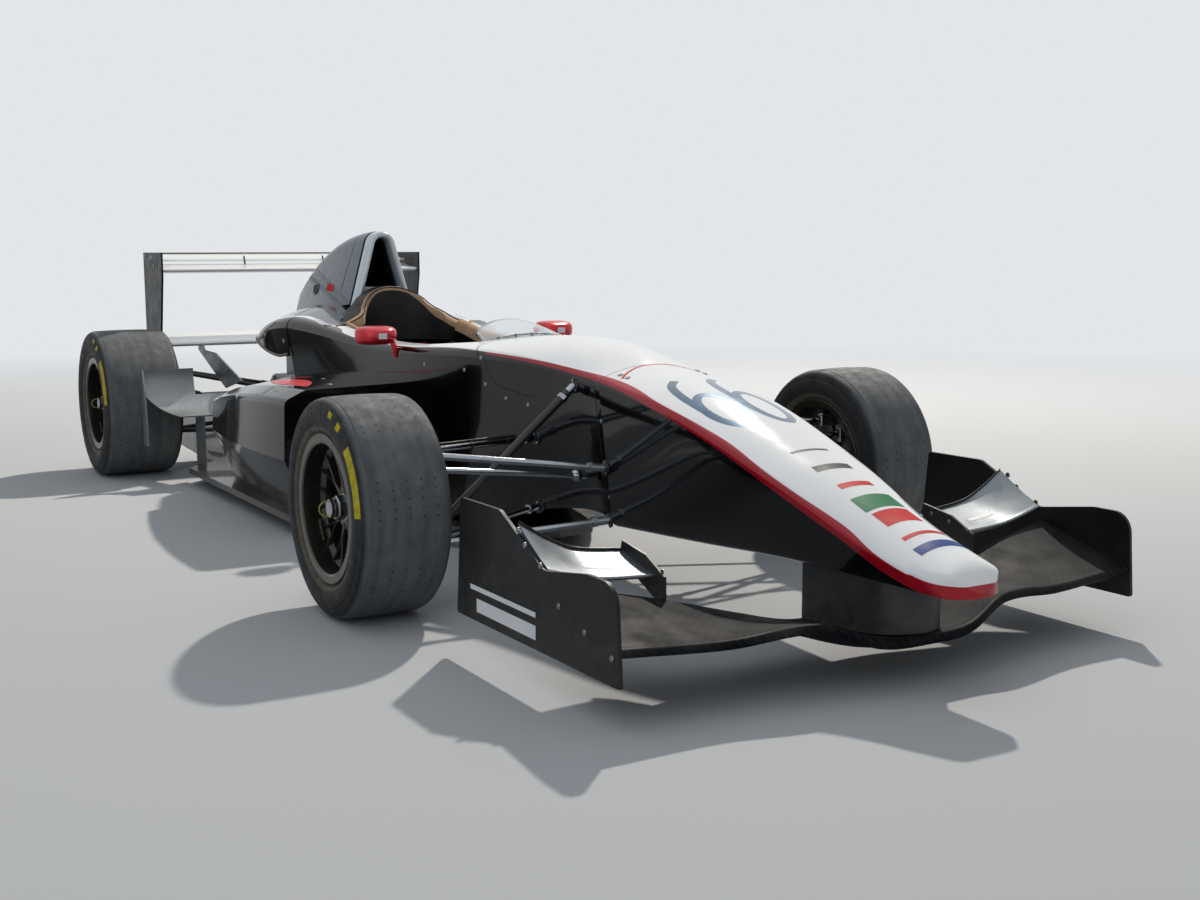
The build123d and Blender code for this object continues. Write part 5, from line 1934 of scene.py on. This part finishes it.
@dataclass
class Cockpit:
    """What the driver touches: head pad, seat pad, belts and steering wheel."""

    pad_front: float = -0.675
    pad_rear: float = -0.875
    pad_foot: float = 0.565
    head_middle: float = -0.655
    head_radius: float = 0.150
    rails: tuple[Point, ...] = (
        (-0.674, 0.214, 0.640), (-0.600, 0.214, 0.629), (-0.500, 0.213, 0.611), (-0.400, 0.213, 0.602),
        (-0.300, 0.213, 0.597), (-0.200, 0.213, 0.595), (-0.100, 0.213, 0.596), (0.000, 0.211, 0.598),
        (0.100, 0.190, 0.604),
    )
    roll_cut: tuple[Flat, ...] = (
        (0.012, -0.010), (0.008, -0.002), (0.000, -0.002), (-0.010, -0.008), (-0.019, -0.022),
        (-0.023, -0.042), (-0.010, -0.046), (0.003, -0.028),
    )
    seat_line: tuple[Point, ...] = (
        (-0.700, 0.0, 0.531), (-0.640, 0.0, 0.437), (-0.575, 0.0, 0.326), (-0.515, 0.0, 0.224),
        (-0.462, 0.0, 0.141), (-0.405, 0.0, 0.128), (-0.300, 0.0, 0.122), (-0.180, 0.0, 0.116),
        (-0.085, 0.0, 0.111),
    )
    seat_half: float = 0.178
    bolster: float = 0.045
    belt_half: float = 0.0225

    def crest(self) -> list[Flat]:
        """The head pad's outline across the car, from the right to the left.

        Returns:
            Points as y and z.
        """
        line = arc_through((0.0, 0.756), (0.065, 0.744), (0.112, 0.712), 10)
        line += arc_through((0.112, 0.712), (0.168, 0.658), (0.285, 0.628), 16)[1:]
        return [(-y, z) for y, z in reversed(line[1:])] + line

    def pad_edge(self, y: float) -> float:
        """Where the head pad's front lies, with the round hollow for the head.

        Args:
            y: Where across the car.

        Returns:
            The place along the car.
        """
        if abs(y) >= self.head_radius:
            return self.pad_front
        return min(self.pad_front, self.head_middle - math.sqrt(self.head_radius**2 - y * y))

    def pad_row(self, y: float, z: float) -> list[Point]:
        """The head pad's cut at one y: its back, its top, its rolled edge and its front.

        Args:
            y: Where across the car.
            z: The pad's height there.

        Returns:
            The points.
        """
        front = self.pad_edge(y)
        deep = front - self.pad_rear
        roll = min(0.014 + 0.30 * max(0.0, min(abs(y) - 0.06, 0.08)), deep * 0.4)
        rear = self.pad_rear
        row = [(rear, y, self.pad_foot), (rear, y, z - 0.010), (rear + 0.010, y, z)]
        row += [(rear + deep * t, y, z) for t in (0.35, 0.6)]
        turns = (0.0, 0.4, 0.8, 1.2, 1.57)
        row += [(front - roll + roll * math.sin(a), y, z - roll + roll * math.cos(a)) for a in turns]
        return row + [(front, y, z - roll - (z - roll - self.pad_foot) * t) for t in (0.35, 0.7, 1.0)]

    def head_pad(self) -> None:
        """The leather covered head surround, with its rolled front edge in suede."""
        shape, seam = Shape(), Shape()
        rows = [self.pad_row(y, z) for y, z in self.crest()]
        shape.grid(rows, wrap=True, caps=True)
        wide = len(rows[0])
        for k in range((len(rows) - 1) * wide):
            if k % wide in range(5, 9):
                shape.marks[k] = 1
        self.place_pad(shape, "head_surround", (LEATHER, TAN_SUEDE), 50.0, ("headrest",))
        edge = [(self.pad_edge(y) - 0.004, y, z - 0.003) for y, z in self.crest() if abs(y) < 0.26]
        seam.tube(edge, 0.0022, 8)
        place_piece(seam, "head_surround_piping", (SUEDE,))

    def place_pad(
        self, shape: Shape, name: str, finishes: tuple[Finish, ...], sharp: float, stands_for: Names = ()
    ) -> None:
        """Place a pad on the chassis, standing for any nodes given."""
        pad = place_piece(shape, name, finishes, replaces=stands_for, sharp=sharp)

    def coaming(self) -> None:
        """The tan roll along both sides of the cockpit's opening."""
        shape = Shape()
        line = smooth_line(list(self.rails), 5)
        shape.grid([[(p.x, p.y + a, p.z + b) for a, b in self.roll_cut] for p in line], wrap=True, caps=True)
        shape.both_sides()
        self.place_pad(shape, "cockpit_coaming", (TAN_SUEDE,), 60.0)

    def screen(self) -> None:
        """The thin raked screen round the front of the opening."""
        shape, rows = Shape(), []
        for k in range(41):
            t = k / 20 - 1
            bow = 1 - t * t
            low = Vector((0.264 + 0.034 * bow, 0.150 * t, 0.612 + 0.018 * bow))
            high = Vector((0.138 - 0.012 * bow, 0.113 * t, 0.626 + 0.047 * bow**0.5))
            steps = [s / 10 for s in range(11)]
            rows.append([low.lerp(high, s) + Vector((0, 0, 0.030 * bow * s * (1 - s))) for s in steps])
        shape.grid(rows)
        place_piece(shape, "screen_sheet", (CLEAR,), replaces=("windscreen",), thick=0.003)
        screws = Shape()
        for row in rows[6:35:7]:
            up = (row[1] - row[0]).cross(Vector((0, 1, 0))).normalized()
            up = up if up.z > 0 else -up
            screws.disc(tuple(row[1] + up * 0.001), tuple(up), 0.0045, 0.0025, 16)
        place_piece(screws, "screen_screws", (STEEL,), sharp=30.0)

    def seat_pad(self) -> None:
        """The seat's fabric pad with raised bolsters and stitched channels."""
        line = smooth_line(list(self.seat_line), 5)
        shape, rows = Shape(), []
        for k, spot in enumerate(line):
            way = (line[min(k + 1, len(line) - 1)] - line[max(k - 1, 0)]).normalized()
            up = Vector((-way.z, 0, way.x))
            if up.z < 0 and abs(up.x) < 0.5:
                up = -up
            up = up if up.x > 0 or up.z > 0.7 else -up
            top, under = [], []
            for j in range(25):
                y = self.seat_half * (j / 12 - 1)
                bolster = self.bolster * (max(0.0, abs(y) / self.seat_half - 0.55) / 0.45) ** 1.4
                channel = -0.004 * math.exp(-(((abs(y) - 0.075) / 0.005) ** 2))
                top.append(spot + up * (0.014 + bolster + channel) + Vector((0, y, 0)))
                under.append(spot + up * 0.001 + Vector((0, y, 0)))
            rows.append(top + under[::-1])
        shape.grid(rows, wrap=True, caps=True)
        self.place_pad(shape, "seat_cushion", (SUEDE,), 50.0)

    def belts(self) -> None:
        """Six point harness: shoulder, lap and crotch straps to one round buckle."""
        shape, buckle = Shape(), Shape()
        shoulder = (
            (-0.722, 0.070, 0.545), (-0.690, 0.068, 0.552), (-0.655, 0.066, 0.500), (-0.585, 0.060, 0.385),
            (-0.520, 0.048, 0.275), (-0.462, 0.026, 0.190),
        )
        lap = ((-0.470, 0.176, 0.205), (-0.440, 0.140, 0.186), (-0.425, 0.080, 0.170), (-0.425, 0.020, 0.172))
        crotch = ((-0.405, 0.0, 0.165), (-0.360, 0.0, 0.148), (-0.300, 0.0, 0.140))
        runs = [[(x, y * sign, z) for x, y, z in strap] for sign in SIGNS for strap in (shoulder, lap)]
        for run in [*runs, list(crotch)]:
            shape.tube(smooth_line(run, 6), self.belt_half, 8, flat=0.07)
        place_piece(shape, "harness_straps", (WEBBING,), sharp=50.0)
        facing = (0.55, 0.0, 0.835)
        buckle.disc((-0.448, 0.0, 0.176), facing, 0.031, 0.016, 32)
        buckle.disc((-0.4392, 0.0, 0.1894), facing, 0.020, 0.008, 6)
        for sign in SIGNS:
            buckle.block((-0.640, 0.066 * sign - 0.028, 0.462), (-0.612, 0.066 * sign + 0.028, 0.472))
        place_piece(buckle, "harness_buckle", (ALUMINIUM,), sharp=30.0)

    def wheel_piece(self, shape: Shape, name: str, finishes: tuple[Finish, ...]) -> None:
        """Stand a piece made flat onto the steering wheel, which carries it."""
        shape.shift(Matrix.Translation((0.005, 0.0, 0.455)) @ Matrix.Rotation(math.radians(-68.0), 4, "Y"))
        place_piece(shape, name, finishes, "steering_wheel")

    def steering(self) -> None:
        """The grips, the face plate with its buttons, and the shift light strip."""
        grips, plate, knobs = Shape(), Shape(), Shape()
        for start in (42.0, 222.0):
            turns = [math.radians(start + 4.8 * k) for k in range(21)]
            sizes = [0.0145 + 0.0025 * math.sin(math.pi * k / 20) ** 2 for k in range(21)]
            grips.tube([(0.125 * math.cos(t), 0.125 * math.sin(t), 0.0) for t in turns], sizes, 14)
        self.wheel_piece(grips, "wheel_grips", (SUEDE,))
        outline = [(x - 0.002, y, 0.0125) for x, y in rounded_box(0.032, 0.092, 0.014, 6)]
        plate.plate(outline, (0.0, 0.0, 0.005))
        self.wheel_piece(plate, "wheel_plate", (CARBON,))
        keys = (
            (0, 0.018, 0.080), (0, -0.020, 0.080), (1, 0.018, -0.080), (2, -0.020, -0.080), (1, 0.0, 0.052),
            (0, 0.0, -0.052),
        )
        for mark, x, y in keys:
            knobs.mark = mark
            knobs.disc((x, y, 0.0170), (0, 0, 1), 0.0065, 0.007, 18)
        knobs.mark = 3
        knobs.block((-0.012, -0.034, 0.0175), (0.026, 0.034, 0.0205))
        finishes = (VINYL_RED, VINYL_GREEN, VINYL_BLUE, SEAM_BLACK_AND_VENT_SHADE)
        self.wheel_piece(knobs, "wheel_buttons", finishes)

    def build(self) -> None:
        """Build every piece of the cockpit."""
        self.head_pad()
        self.coaming()
        self.screen()
        self.seat_pad()
        self.belts()
        self.steering()


# Suspension, engine bay and tail


@dataclass
class Suspension:
    """Rod ends, lock nuts, brackets and brake hoses of the four corners.

    Each arm runs from its ball joint at the wheel to its joint on the body. The gaps are how
    far from the ball joint the first nut sits.
    """

    frame: dict
    arms: Rods = (
        ((0.835, 0.659, 0.3893), (0.947, 0.160, 0.330)), ((0.835, 0.659, 0.3893), (0.620, 0.180, 0.372)),
        ((0.835, 0.659, 0.1507), (0.945, 0.110, 0.190)), ((0.835, 0.659, 0.1507), (0.575, 0.130, 0.172)),
        ((0.835, 0.617, 0.1507), (0.835, 0.160, 0.540)),
    )
    rear_arms: Rods = (
        ((-1.810, 0.590, 0.4145), (-1.620, 0.060, 0.300)), ((-1.810, 0.590, 0.4145), (-1.960, 0.060, 0.310)),
        ((-1.810, 0.590, 0.1605), (-1.580, 0.060, 0.165)), ((-1.810, 0.590, 0.1605), (-1.950, 0.060, 0.195)),
    )
    front_gap: float = 0.024
    rear_gap: float = 0.022
    nut: float = 0.0140
    sleeve: float = 0.0112
    hose_lift: float = 0.0125

    def corner(self, arms: Rods, names: Names, gap: float) -> tuple[Shape, Shape]:
        """The lock nuts by the wheel, and the nut and bracket where each rod meets the body.

        Args:
            arms: The left side's rods.
            names: The nodes or pieces that they meet.
            gap: How far from the ball joint the first nut sits.

        Returns:
            The bright parts and the dark ones, on the left side.
        """
        bright, dark, skin = Shape(), Shape(), Skin(names, self.frame)
        for outer, inner in arms:
            a, b = Vector(outer), Vector(inner)
            way = (b - a).normalized()
            bright.tube([a + way * gap, a + way * (gap + 0.030)], self.sleeve, 16)
            bright.tube([a + way * (gap + 0.030), a + way * (gap + 0.042)], self.nut, 6)
            found = skin.touch(tuple(a + way * 0.03), tuple(way))
            if not found:
                continue
            spot, facing = found
            bright.tube([spot - way * 0.052, spot - way * 0.040], self.nut, 6)
            bright.tube([spot - way * 0.040, spot - way * 0.004], self.sleeve, 16)
            dark.disc(tuple(spot - facing * 0.003), tuple(facing), 0.021, 0.007, 24)
            side = facing.cross(Vector((0, 0, 1))).normalized()
            for turn in (0.8, 2.9, 5.0):
                rim = side * math.cos(turn) + facing.cross(side) * math.sin(turn)
                bright.disc(tuple(spot + rim * 0.0155 + facing * 0.0035), tuple(facing), 0.0032, 0.003, 6)
        return bright, dark

    def eyes(self, shape: Shape) -> None:
        """Ball joint caps and their bolts at the front uprights' eyes.

        Args:
            shape: The piece that gets it.
        """
        for (x, y, z), sign in ((self.arms[0][0], 1.0), (self.arms[2][0], -1.0)):
            base = z + sign * 0.0130
            shape.disc((x, y, base), (0, 0, sign), 0.0105, 0.0050, 24)
            shape.disc((x, y, base + sign * 0.0045), (0, 0, sign), 0.0070, 0.0055, 6)

    def hoses(self) -> None:
        """Black brake hoses that run along the upper front arms, held by ties."""
        shape = Shape()
        a, b = (Vector(end) for end in self.arms[1])
        way, lift = (b - a).normalized(), Vector((0, 0, self.hose_lift))
        path = [tuple(a.lerp(b, t) + lift) for t in (0.16, 0.30, 0.45, 0.60, 0.75, 0.86)]
        shape.tube(smooth_line(path, 4), 0.0032, 8)
        for t in (0.22, 0.5, 0.78):
            spot = a.lerp(b, t)
            shape.tube([spot - way * 0.003, spot + way * 0.003], 0.0104, 12)
        shape.both_sides()
        place_piece(shape, "brake_hoses", (RUBBER_HOSE,))

    def build(self) -> None:
        """Build the details of all four corners."""
        bright, dark = self.corner(self.arms, ("monocoque", "nose_shell"), self.front_gap)
        self.eyes(bright)
        # Black sleeves over the plated pushrods: painted shade, since the rods are the same metal as the arms
        rods = Shape()
        a, b = (Vector(end) for end in self.arms[4])
        rods.tube([a.lerp(b, 0.10), a.lerp(b, 0.94)], 0.0118, 20)
        for shape in (bright, dark, rods):
            shape.both_sides()
        place_piece(rods, "pushrod_tubes", (SATIN_BLACK,))
        place_piece(bright, "front_rod_ends", (PLATED_TUBE,), sharp=30.0)
        place_piece(dark, "front_brackets", (SATIN_BLACK,), sharp=30.0)
        bright, dark = self.corner(self.rear_arms, ("gearbox", "engine"), self.rear_gap)
        bright.both_sides()
        dark.both_sides()
        place_piece(bright, "rear_rod_ends", (STEEL,), sharp=30.0)
        place_piece(dark, "rear_brackets", (SATIN_BLACK,), sharp=30.0)
        self.hoses()


@dataclass
class Brakes:
    """The caliper details and steering bolts that ride on the front uprights."""

    place: float = 0.727
    face: float = 0.751 - 0.050 - 0.0268
    bleed: Flat = (0.710, 0.751 - 0.050 - 0.020)
    bolt: Point = (0.920, 0.659, 0.3722)

    def build(self) -> None:
        """Piston covers, bridge bolts and a bleed nipple on each caliper, and the steering arm's bolt."""
        for side in Side:
            shape, bolt = Shape(), Shape()
            for z in (0.240, 0.270, 0.300):
                shape.disc((self.place, self.face, z), (0, -1, 0), 0.0125, 0.004, 24)
            for z in (0.222, 0.318):
                shape.disc((self.place, self.face, z), (0, -1, 0), 0.0055, 0.004, 6)
            shape.tube([(*self.bleed, 0.325), (*self.bleed, 0.337)], 0.0032, 8)
            x, y, z = self.bolt
            bolt.disc((x, y * side.value, z), (0, 0, 1), 0.0085, 0.0060, 6)
            body = f"knuckle_{side.word}"
            place_piece(bolt, f"steering_bolt_{side.word}", (STEEL,), body, sharp=30.0)
            if side is Side.RIGHT:
                shape.shift(Matrix.Scale(-1.0, 4, (0, 1, 0)))
            name = f"caliper_pistons_{side.word}"
            place_piece(shape, name, (CALIPER_GREY,), body, sharp=30.0)


@dataclass
class EngineBay:
    """Hoses, exhaust, gearbox ribs and bolts, and the driveshaft boots."""

    axle_height: float = 0.2875
    port: float = 0.350
    pipe: float = 0.0175
    flange: float = -1.397
    bolt_circle: float = 0.036

    def hoses(self) -> None:
        """The coolant hoses from the radiators to the engine, with clamps."""
        shape, clamps = Shape(), Shape()
        paths = (
            ((-0.425, 0.430, 0.375), (-0.560, 0.420, 0.380), (-0.800, 0.330, 0.370), (-0.985, 0.200, 0.390),
             (-1.040, 0.150, 0.400)),
            ((-0.425, 0.430, 0.200), (-0.560, 0.430, 0.170), (-0.820, 0.330, 0.160), (-0.995, 0.210, 0.165),
             (-1.050, 0.160, 0.170)),
        )
        for path in paths:
            line = smooth_line(list(path), 8)
            shape.tube(line, 0.019, 14)
            clamps.tube(line[2:4], 0.0208, 16)
            clamps.tube(line[-4:-2], 0.0208, 16)
        shape.both_sides()
        clamps.both_sides()
        place_piece(shape, "coolant_hoses", (RUBBER_HOSE,))
        place_piece(clamps, "hose_clamps", (STEEL,), sharp=30.0)

    def exhaust(self) -> None:
        """Four bent pipes on the left that join into one, and its silencer."""
        shape = Shape()
        for k in range(4):
            x = -1.060 - 0.082 * k
            bends = [
                (x, 0.166, self.port), (x - 0.010, 0.205, self.port + 0.002),
                (x - 0.040, 0.228, 0.330 - 0.004 * k),
                (-1.385, 0.228 - 0.010 * (k % 2), 0.305 + 0.014 * (k // 2)), (-1.440, 0.222, 0.312),
            ]
            shape.tube(smooth_line(bends, 6), self.pipe, 12)
            shape.disc((x, 0.169, self.port), (0, 1, 0), 0.026, 0.007, 20)
        tail = [(-1.430, 0.222, 0.312), (-1.500, 0.215, 0.320), (-1.560, 0.205, 0.345)]
        shape.tube(smooth_line(tail, 6), 0.026, 16)
        start = [(-1.545, 0.207, 0.340), (-1.575, 0.202, 0.352)]
        shape.tube(start + [(-1.840, 0.165, 0.400), (-1.868, 0.160, 0.405)], [0.030, 0.043, 0.043, 0.028], 24)
        shape.tube([(-1.860, 0.161, 0.403), (-1.925, 0.150, 0.412)], 0.024, 18)
        place_piece(shape, "exhaust_pipes", (EXHAUST,))

    def gear_case(self) -> None:
        """Ribs and bolts of the gear case and its bellhousing."""
        ribs, bolts = Shape(), Shape()
        for y, z in ((0.149, 0.205), (0.149, 0.290), (0.149, 0.375), (0.080, 0.421), (0.0, 0.421)):
            bolts.disc((self.flange - 0.004, y * 0.965, z * 0.985), (-1, 0, 0), 0.0075, 0.016, 6)
        rows = (
            (-1.470, 0.136, 0.185, 0.375), (-1.550, 0.116, 0.185, 0.375), (-1.700, 0.0925, 0.205, 0.355),
            (-1.900, 0.090, 0.205, 0.355),
        )
        for x, half, low, top in rows:
            ribs.block((x - 0.003, half - 0.004, low), (x + 0.003, half + 0.006, top))
        for z in (0.240, 0.335):
            ribs.block((-1.940, 0.084, z - 0.003), (-1.660, 0.0965, z + 0.003))
        for t in around(8):
            x, z = self.bolt_circle * math.cos(t), self.bolt_circle * math.sin(t)
            bolts.disc((REAR_AXLE + x, 0.117, self.axle_height + z), (0, 1, 0), 0.0045, 0.004, 6)
        ribs.both_sides()
        bolts.both_sides()
        place_piece(ribs, "gear_case_ribs", (MAGNESIUM,))
        place_piece(bolts, "gear_case_bolts", (STEEL,), sharp=30.0)

    def boots(self) -> None:
        """The pleated rubber boots on the driveshaft joints."""
        profile = [(0.0222, 0.064)]
        for k in range(6):
            reach = 0.060 - 0.0100 * k
            profile += [(0.0240 + 0.0030 * k, reach), (0.0290 + 0.0028 * k, reach - 0.0050)]
        profile += [(0.0432, 0.002), (0.0432, -0.006), (0.0421, -0.006), (0.0421, 0.0)]
        for side in Side:
            shape, sign = Shape(), float(side.value)
            for start, way in ((0.1890, 1.0), (0.4945, -1.0)):
                shape.lathe(profile, (REAR_AXLE, sign * start, self.axle_height), (0.0, sign * way, 0.0), 40)
            name, body = f"driveshaft_boots_{side.word}", f"rear_wheel_{side.word}"
            place_piece(shape, name, (RUBBER_HOSE,), body, sharp=60.0)

    def build(self) -> None:
        """Build everything under the engine cover."""
        self.hoses()
        self.exhaust()
        self.gear_case()
        self.boots()


@dataclass
class RearWing:
    """Gurney strip, slot brackets, screws, labels and the rain light's lens."""

    half_span: float = 0.556
    plate_face: float = 0.5645
    stay_face: float = 0.4015
    light_face: float = -2.120

    def strips(self) -> None:
        """The upright strip along the flap's tail and the two brackets in the slot."""
        dark = Shape()
        strip = ((-2.1262, 0.872), (-2.1286, 0.872), (-2.1306, 0.8795), (-2.1282, 0.8795))
        dark.plate([(x, -self.half_span, z) for x, z in strip], (0, 2 * self.half_span, 0))
        bracket = ((-1.985, 0.831), (-1.998, 0.862), (-2.010, 0.866), (-2.000, 0.831))
        for y in (-0.177, 0.173):
            dark.plate([(x, y, z) for x, z in bracket], (0, 0.004, 0))
        place_piece(dark, "rear_wing_strips", (SATIN_BLACK,))

    def screws(self) -> None:
        """Button screws through the endplates, and plain ones through the stays."""
        shape = Shape()
        high = ((-1.870, 0.812), (-1.960, 0.824), (-2.010, 0.852), (-2.100, 0.866))
        for x, z in (*high, (-1.890, 0.512), (-2.030, 0.532)):
            shape.button((x, self.plate_face, z))
        for x, z in ((-1.925, 0.497), (-1.900, 0.506), (-1.440, 0.405), (-1.530, 0.420), (-1.600, 0.400)):
            shape.disc((x, self.stay_face, z), (0, 1, 0), 0.0060, 0.0030, 16)
        shape.both_sides()
        place_piece(shape, "rear_wing_screws", (STEEL,), sharp=30.0)

    def labels(self) -> None:
        """A plain label on the outside of each endplate."""
        shape = Shape()
        for y in (-0.5656, 0.5656):
            shape.grid([[(x, y, z) for x in (-1.985, -2.005, -2.030)] for z in (0.852, 0.868)])
        place_piece(shape, "endplate_labels", (VINYL_TEAL,), sharp=60.0)

    def light(self) -> None:
        """The rain light's lens with its round corners."""
        lens = Shape()
        outline = rounded_box(0.027, 0.022, 0.008, 5)
        lens.plate([(self.light_face, y, 0.270 + z) for y, z in outline], (-0.0145, 0, 0))
        stands_for = ("tail_light",)
        place_piece(lens, "rain_light_lens", (LAMP_RED,), replaces=stands_for, bevel=0.002)

    def build(self) -> None:
        """Build the small parts of the rear wing and the tail."""
        self.strips()
        self.screws()
        self.labels()
        self.light()


# Which finish each construction node wears

NODE_FINISHES: tuple[tuple[Finish, Names], ...] = (
    (BODY_PAINT, ("monocoque", "nose_cone", "engine_cover")),
    (GLOSS_BLACK, ("sidepod_left", "sidepod_right")),
    (WHITE_PAINT, ("beam_wing", "rear_wing_main", "rear_wing_flap")),
    (SILVER_PAINT, ("roll_hoop",)),
    (COWL_SHADED_SILVER, ("hoop_cowl",)),
    (RED_PAINT, ("mirrors",)),
    (PLATE_GREY, ("front_endplates", "rear_endplates")),
    (WING_CARBON, ("front_wing_main",)),
    (FLAP_SILVER, ("front_flaps",)),
    (CARBON, ("seat", "floor")),
    (BRIGHT_CARBON, ("tyre_ramps",)),
    (CLEAR, ("windscreen",)),
    (LEATHER, ("headrest",)),
    (LAMP_RED, ("tail_light",)),
    (FINS, ("radiators",)),
    (STAY_METAL, ("wing_stays",)),
    (CAST, ("engine",)),
    (MAGNESIUM, ("gearbox",)),
    (PLATED_TUBE, ("front_wishbones", "track_rods")),
    (ALUMINIUM, ("rear_uprights", "knuckle_left", "knuckle_right")),
    (STEEL, ("driveshaft_left", "driveshaft_right")),
    (RIM_METAL, ("front_rim_left", "front_rim_right", "rear_rim_left", "rear_rim_right")),
    (SATIN_BLACK, ("nose_pylon", "flap_supports", "rear_wishbones", "steering_wheel")),
    (SATIN_BLACK, ("front_tyre_left", "front_tyre_right", "rear_tyre_left", "rear_tyre_right")),
)


def dress_nodes(frame: dict) -> None:
    """Give each construction node its finish.
    """
    wears = {name: finish for finish, names in NODE_FINISHES for name in names}
    for name, node in frame["nodes"].items():
        node.data.materials.clear()
        node.data.materials.append(wears[name].build())


# Light, floor and camera


@dataclass
class Studio:
    """The pale floor that fades into the background, the lamps, the sky and the camera.

    Each lamp has its name, place, size, power and colour. The camera's turns are in degrees.
    """

    floor_size: float = 120.0
    floor_colour: str = "b9bcbf"
    fade: Flat = (3.2, 9.0)
    pale: str = "e3e6e9"
    sky_low: str = "858b91"
    sky_high: str = "dde2e6"
    sky_strength: float = 0.5
    lamp_rows: tuple[tuple[str, Point, float, float, str], ...] = (
        ("key_lamp", (-4.5, 5.2, 7.4), 0.3, 960.0, "fff6ea"),
        ("top_lamp", (0.5, -1.5, 6.5), 6.0, 48.0, "eef3fa"),
        ("fill_lamp", (4.5, -5.0, 3.2), 5.0, 60.0, "eef3fa"),
    )
    eye: Point = (4.084, -2.012, 0.880)
    yaw: float = 149.39
    pitch: float = -7.89
    roll: float = -0.14
    focal_px: float = 1432.8
    image_width: int = 1200
    sensor: float = 36.0

    def stand(self, name: str, data: bpy.types.ID) -> bpy.types.Object:
        """Put a new object with this data in the scene.

        Args:
            name: The object's name.
            data: Its mesh, lamp or camera.

        Returns:
            The new object.
        """
        item = bpy.data.objects.new(name, data)
        bpy.context.scene.collection.objects.link(item)
        return item

    def floor(self) -> None:
        """Lay the pale floor, which takes the background's colour far from the car."""
        mesh = bpy.data.meshes.new("studio_floor")
        half = self.floor_size / 2
        corners = [(-half, -half, 0), (half, -half, 0), (half, half, 0), (-half, half, 0)]
        mesh.from_pydata(corners, [], [(0, 1, 2, 3)])
        ground = self.stand("studio_floor", mesh)
        material = bpy.data.materials.new("studio_floor")
        material.use_nodes = True
        box = Paintbox(material.node_tree)
        shader = box.tree.nodes["Principled BSDF"]
        shader.inputs["Base Color"].default_value = linear(self.floor_colour)
        shader.inputs["Roughness"].default_value = 0.9
        shader.inputs["Specular IOR Level"].default_value = 0.2
        glow = add(box.tree, "ShaderNodeEmission", {"Color": linear(self.pale), "Strength": 1.0})
        away = add(box.tree, "ShaderNodeVectorMath", {0: box.place()}, operation="LENGTH").outputs["Value"]
        links = {0: box.ramp(away, *self.fade), 1: shader.outputs[0], 2: glow.outputs[0]}
        blend = add(box.tree, "ShaderNodeMixShader", links)
        box.tree.links.new(blend.outputs[0], box.tree.nodes["Material Output"].inputs["Surface"])
        ground.data.materials.append(material)

    def lamps(self) -> None:
        """Hang the lamps: a strong key behind the far side, as the sun stands, and soft fills."""
        for name, spot, size, power, colour in self.lamp_rows:
            lamp = bpy.data.lights.new(name, "AREA")
            lamp.size = size
            lamp.energy = power
            lamp.color = linear(colour)[:3]
            item = self.stand(name, lamp)
            item.location = spot
            item.rotation_euler = (Vector((0, 0, 0.3)) - Vector(spot)).to_track_quat("-Z", "Y").to_euler()

    def sky(self) -> None:
        """Give a pale background to the eye and a graded grey sky to the paint."""
        world = bpy.data.worlds.new("studio_sky")
        bpy.context.scene.world = world
        world.use_nodes = True
        tree = world.node_tree
        back = tree.nodes["Background"]
        direction = add(tree, "ShaderNodeTexCoord").outputs["Generated"]
        height = add(tree, "ShaderNodeSeparateXYZ", {0: direction}).outputs["Z"]
        ramp = add(tree, "ShaderNodeValToRGB", {0: height})
        ends = ((0.0, self.sky_low), (0.7, self.sky_high))
        for element, (place, colour) in zip(ramp.color_ramp.elements, ends):
            element.position = place
            element.color = linear(colour)
        tree.links.new(ramp.outputs[0], back.inputs["Color"])
        back.inputs["Strength"].default_value = self.sky_strength
        shown = add(tree, "ShaderNodeBackground", {"Color": linear(self.pale), "Strength": 1.0})
        path = add(tree, "ShaderNodeLightPath")
        box = Paintbox(tree)
        seen = box.math("MAXIMUM", path.outputs["Is Camera Ray"], path.outputs["Is Transmission Ray"])
        seen = box.math("MAXIMUM", seen, path.outputs["Is Glossy Ray"])
        blend = add(tree, "ShaderNodeMixShader", {0: seen, 1: back.outputs[0], 2: shown.outputs[0]})
        tree.links.new(blend.outputs[0], tree.nodes["World Output"].inputs["Surface"])

    def camera(self) -> None:
        """Stand the camera where the photograph was taken from."""
        data = bpy.data.cameras.new("photo_camera")
        data.sensor_width = self.sensor
        data.lens = self.focal_px / self.image_width * self.sensor
        data.clip_end = 200.0
        item = self.stand("photo_camera", data)
        yaw, pitch = math.radians(self.yaw), math.radians(self.pitch)
        ahead = Vector((math.cos(pitch) * math.cos(yaw), math.cos(pitch) * math.sin(yaw), math.sin(pitch)))
        turn = ahead.to_track_quat("-Z", "Y").to_matrix().to_4x4()
        roll = Matrix.Rotation(math.radians(self.roll), 4, "Z")
        item.matrix_world = Matrix.Translation(self.eye) @ turn @ roll
        bpy.context.scene.camera = item

    def set_up(self) -> None:
        """Build the whole studio."""
        self.floor()
        self.lamps()
        self.sky()
        self.camera()
        bpy.context.scene.view_settings.view_transform = "Standard"


def build_wheels() -> None:
    """Build the four wheels, each from its place, radius, and the widths of its tyre and rim."""
    for side in Side:
        sign = float(side.value)
        Wheel(side, "front", (FRONT_AXLE, 0.751 * sign, 0.270), 0.270, 0.238, 0.203).build()
        Wheel(side, "rear", (REAR_AXLE, 0.720 * sign, 0.2875), 0.2875, 0.300, 0.254, spin_offset=14.0).build()


def main() -> None:
    """Build the studio, dress the car and report each piece."""
    logging.basicConfig(level=logging.INFO, format="%(message)s")
    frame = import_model()
    Studio().set_up()
    dress_nodes(frame)
    log.info("nodes dressed: %d", len(frame["nodes"]))
    build_wheels()
    NoseSkin().build()
    FrontWing(frame).build()
    BodyGraphics(frame).build()
    CoverDetails(frame).build()
    Mirrors().build()
    Cockpit().build()
    Suspension(frame).build()
    Brakes().build()
    EngineBay().build()
    RearWing().build()
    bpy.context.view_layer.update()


if __name__ == "__main__":
    main()
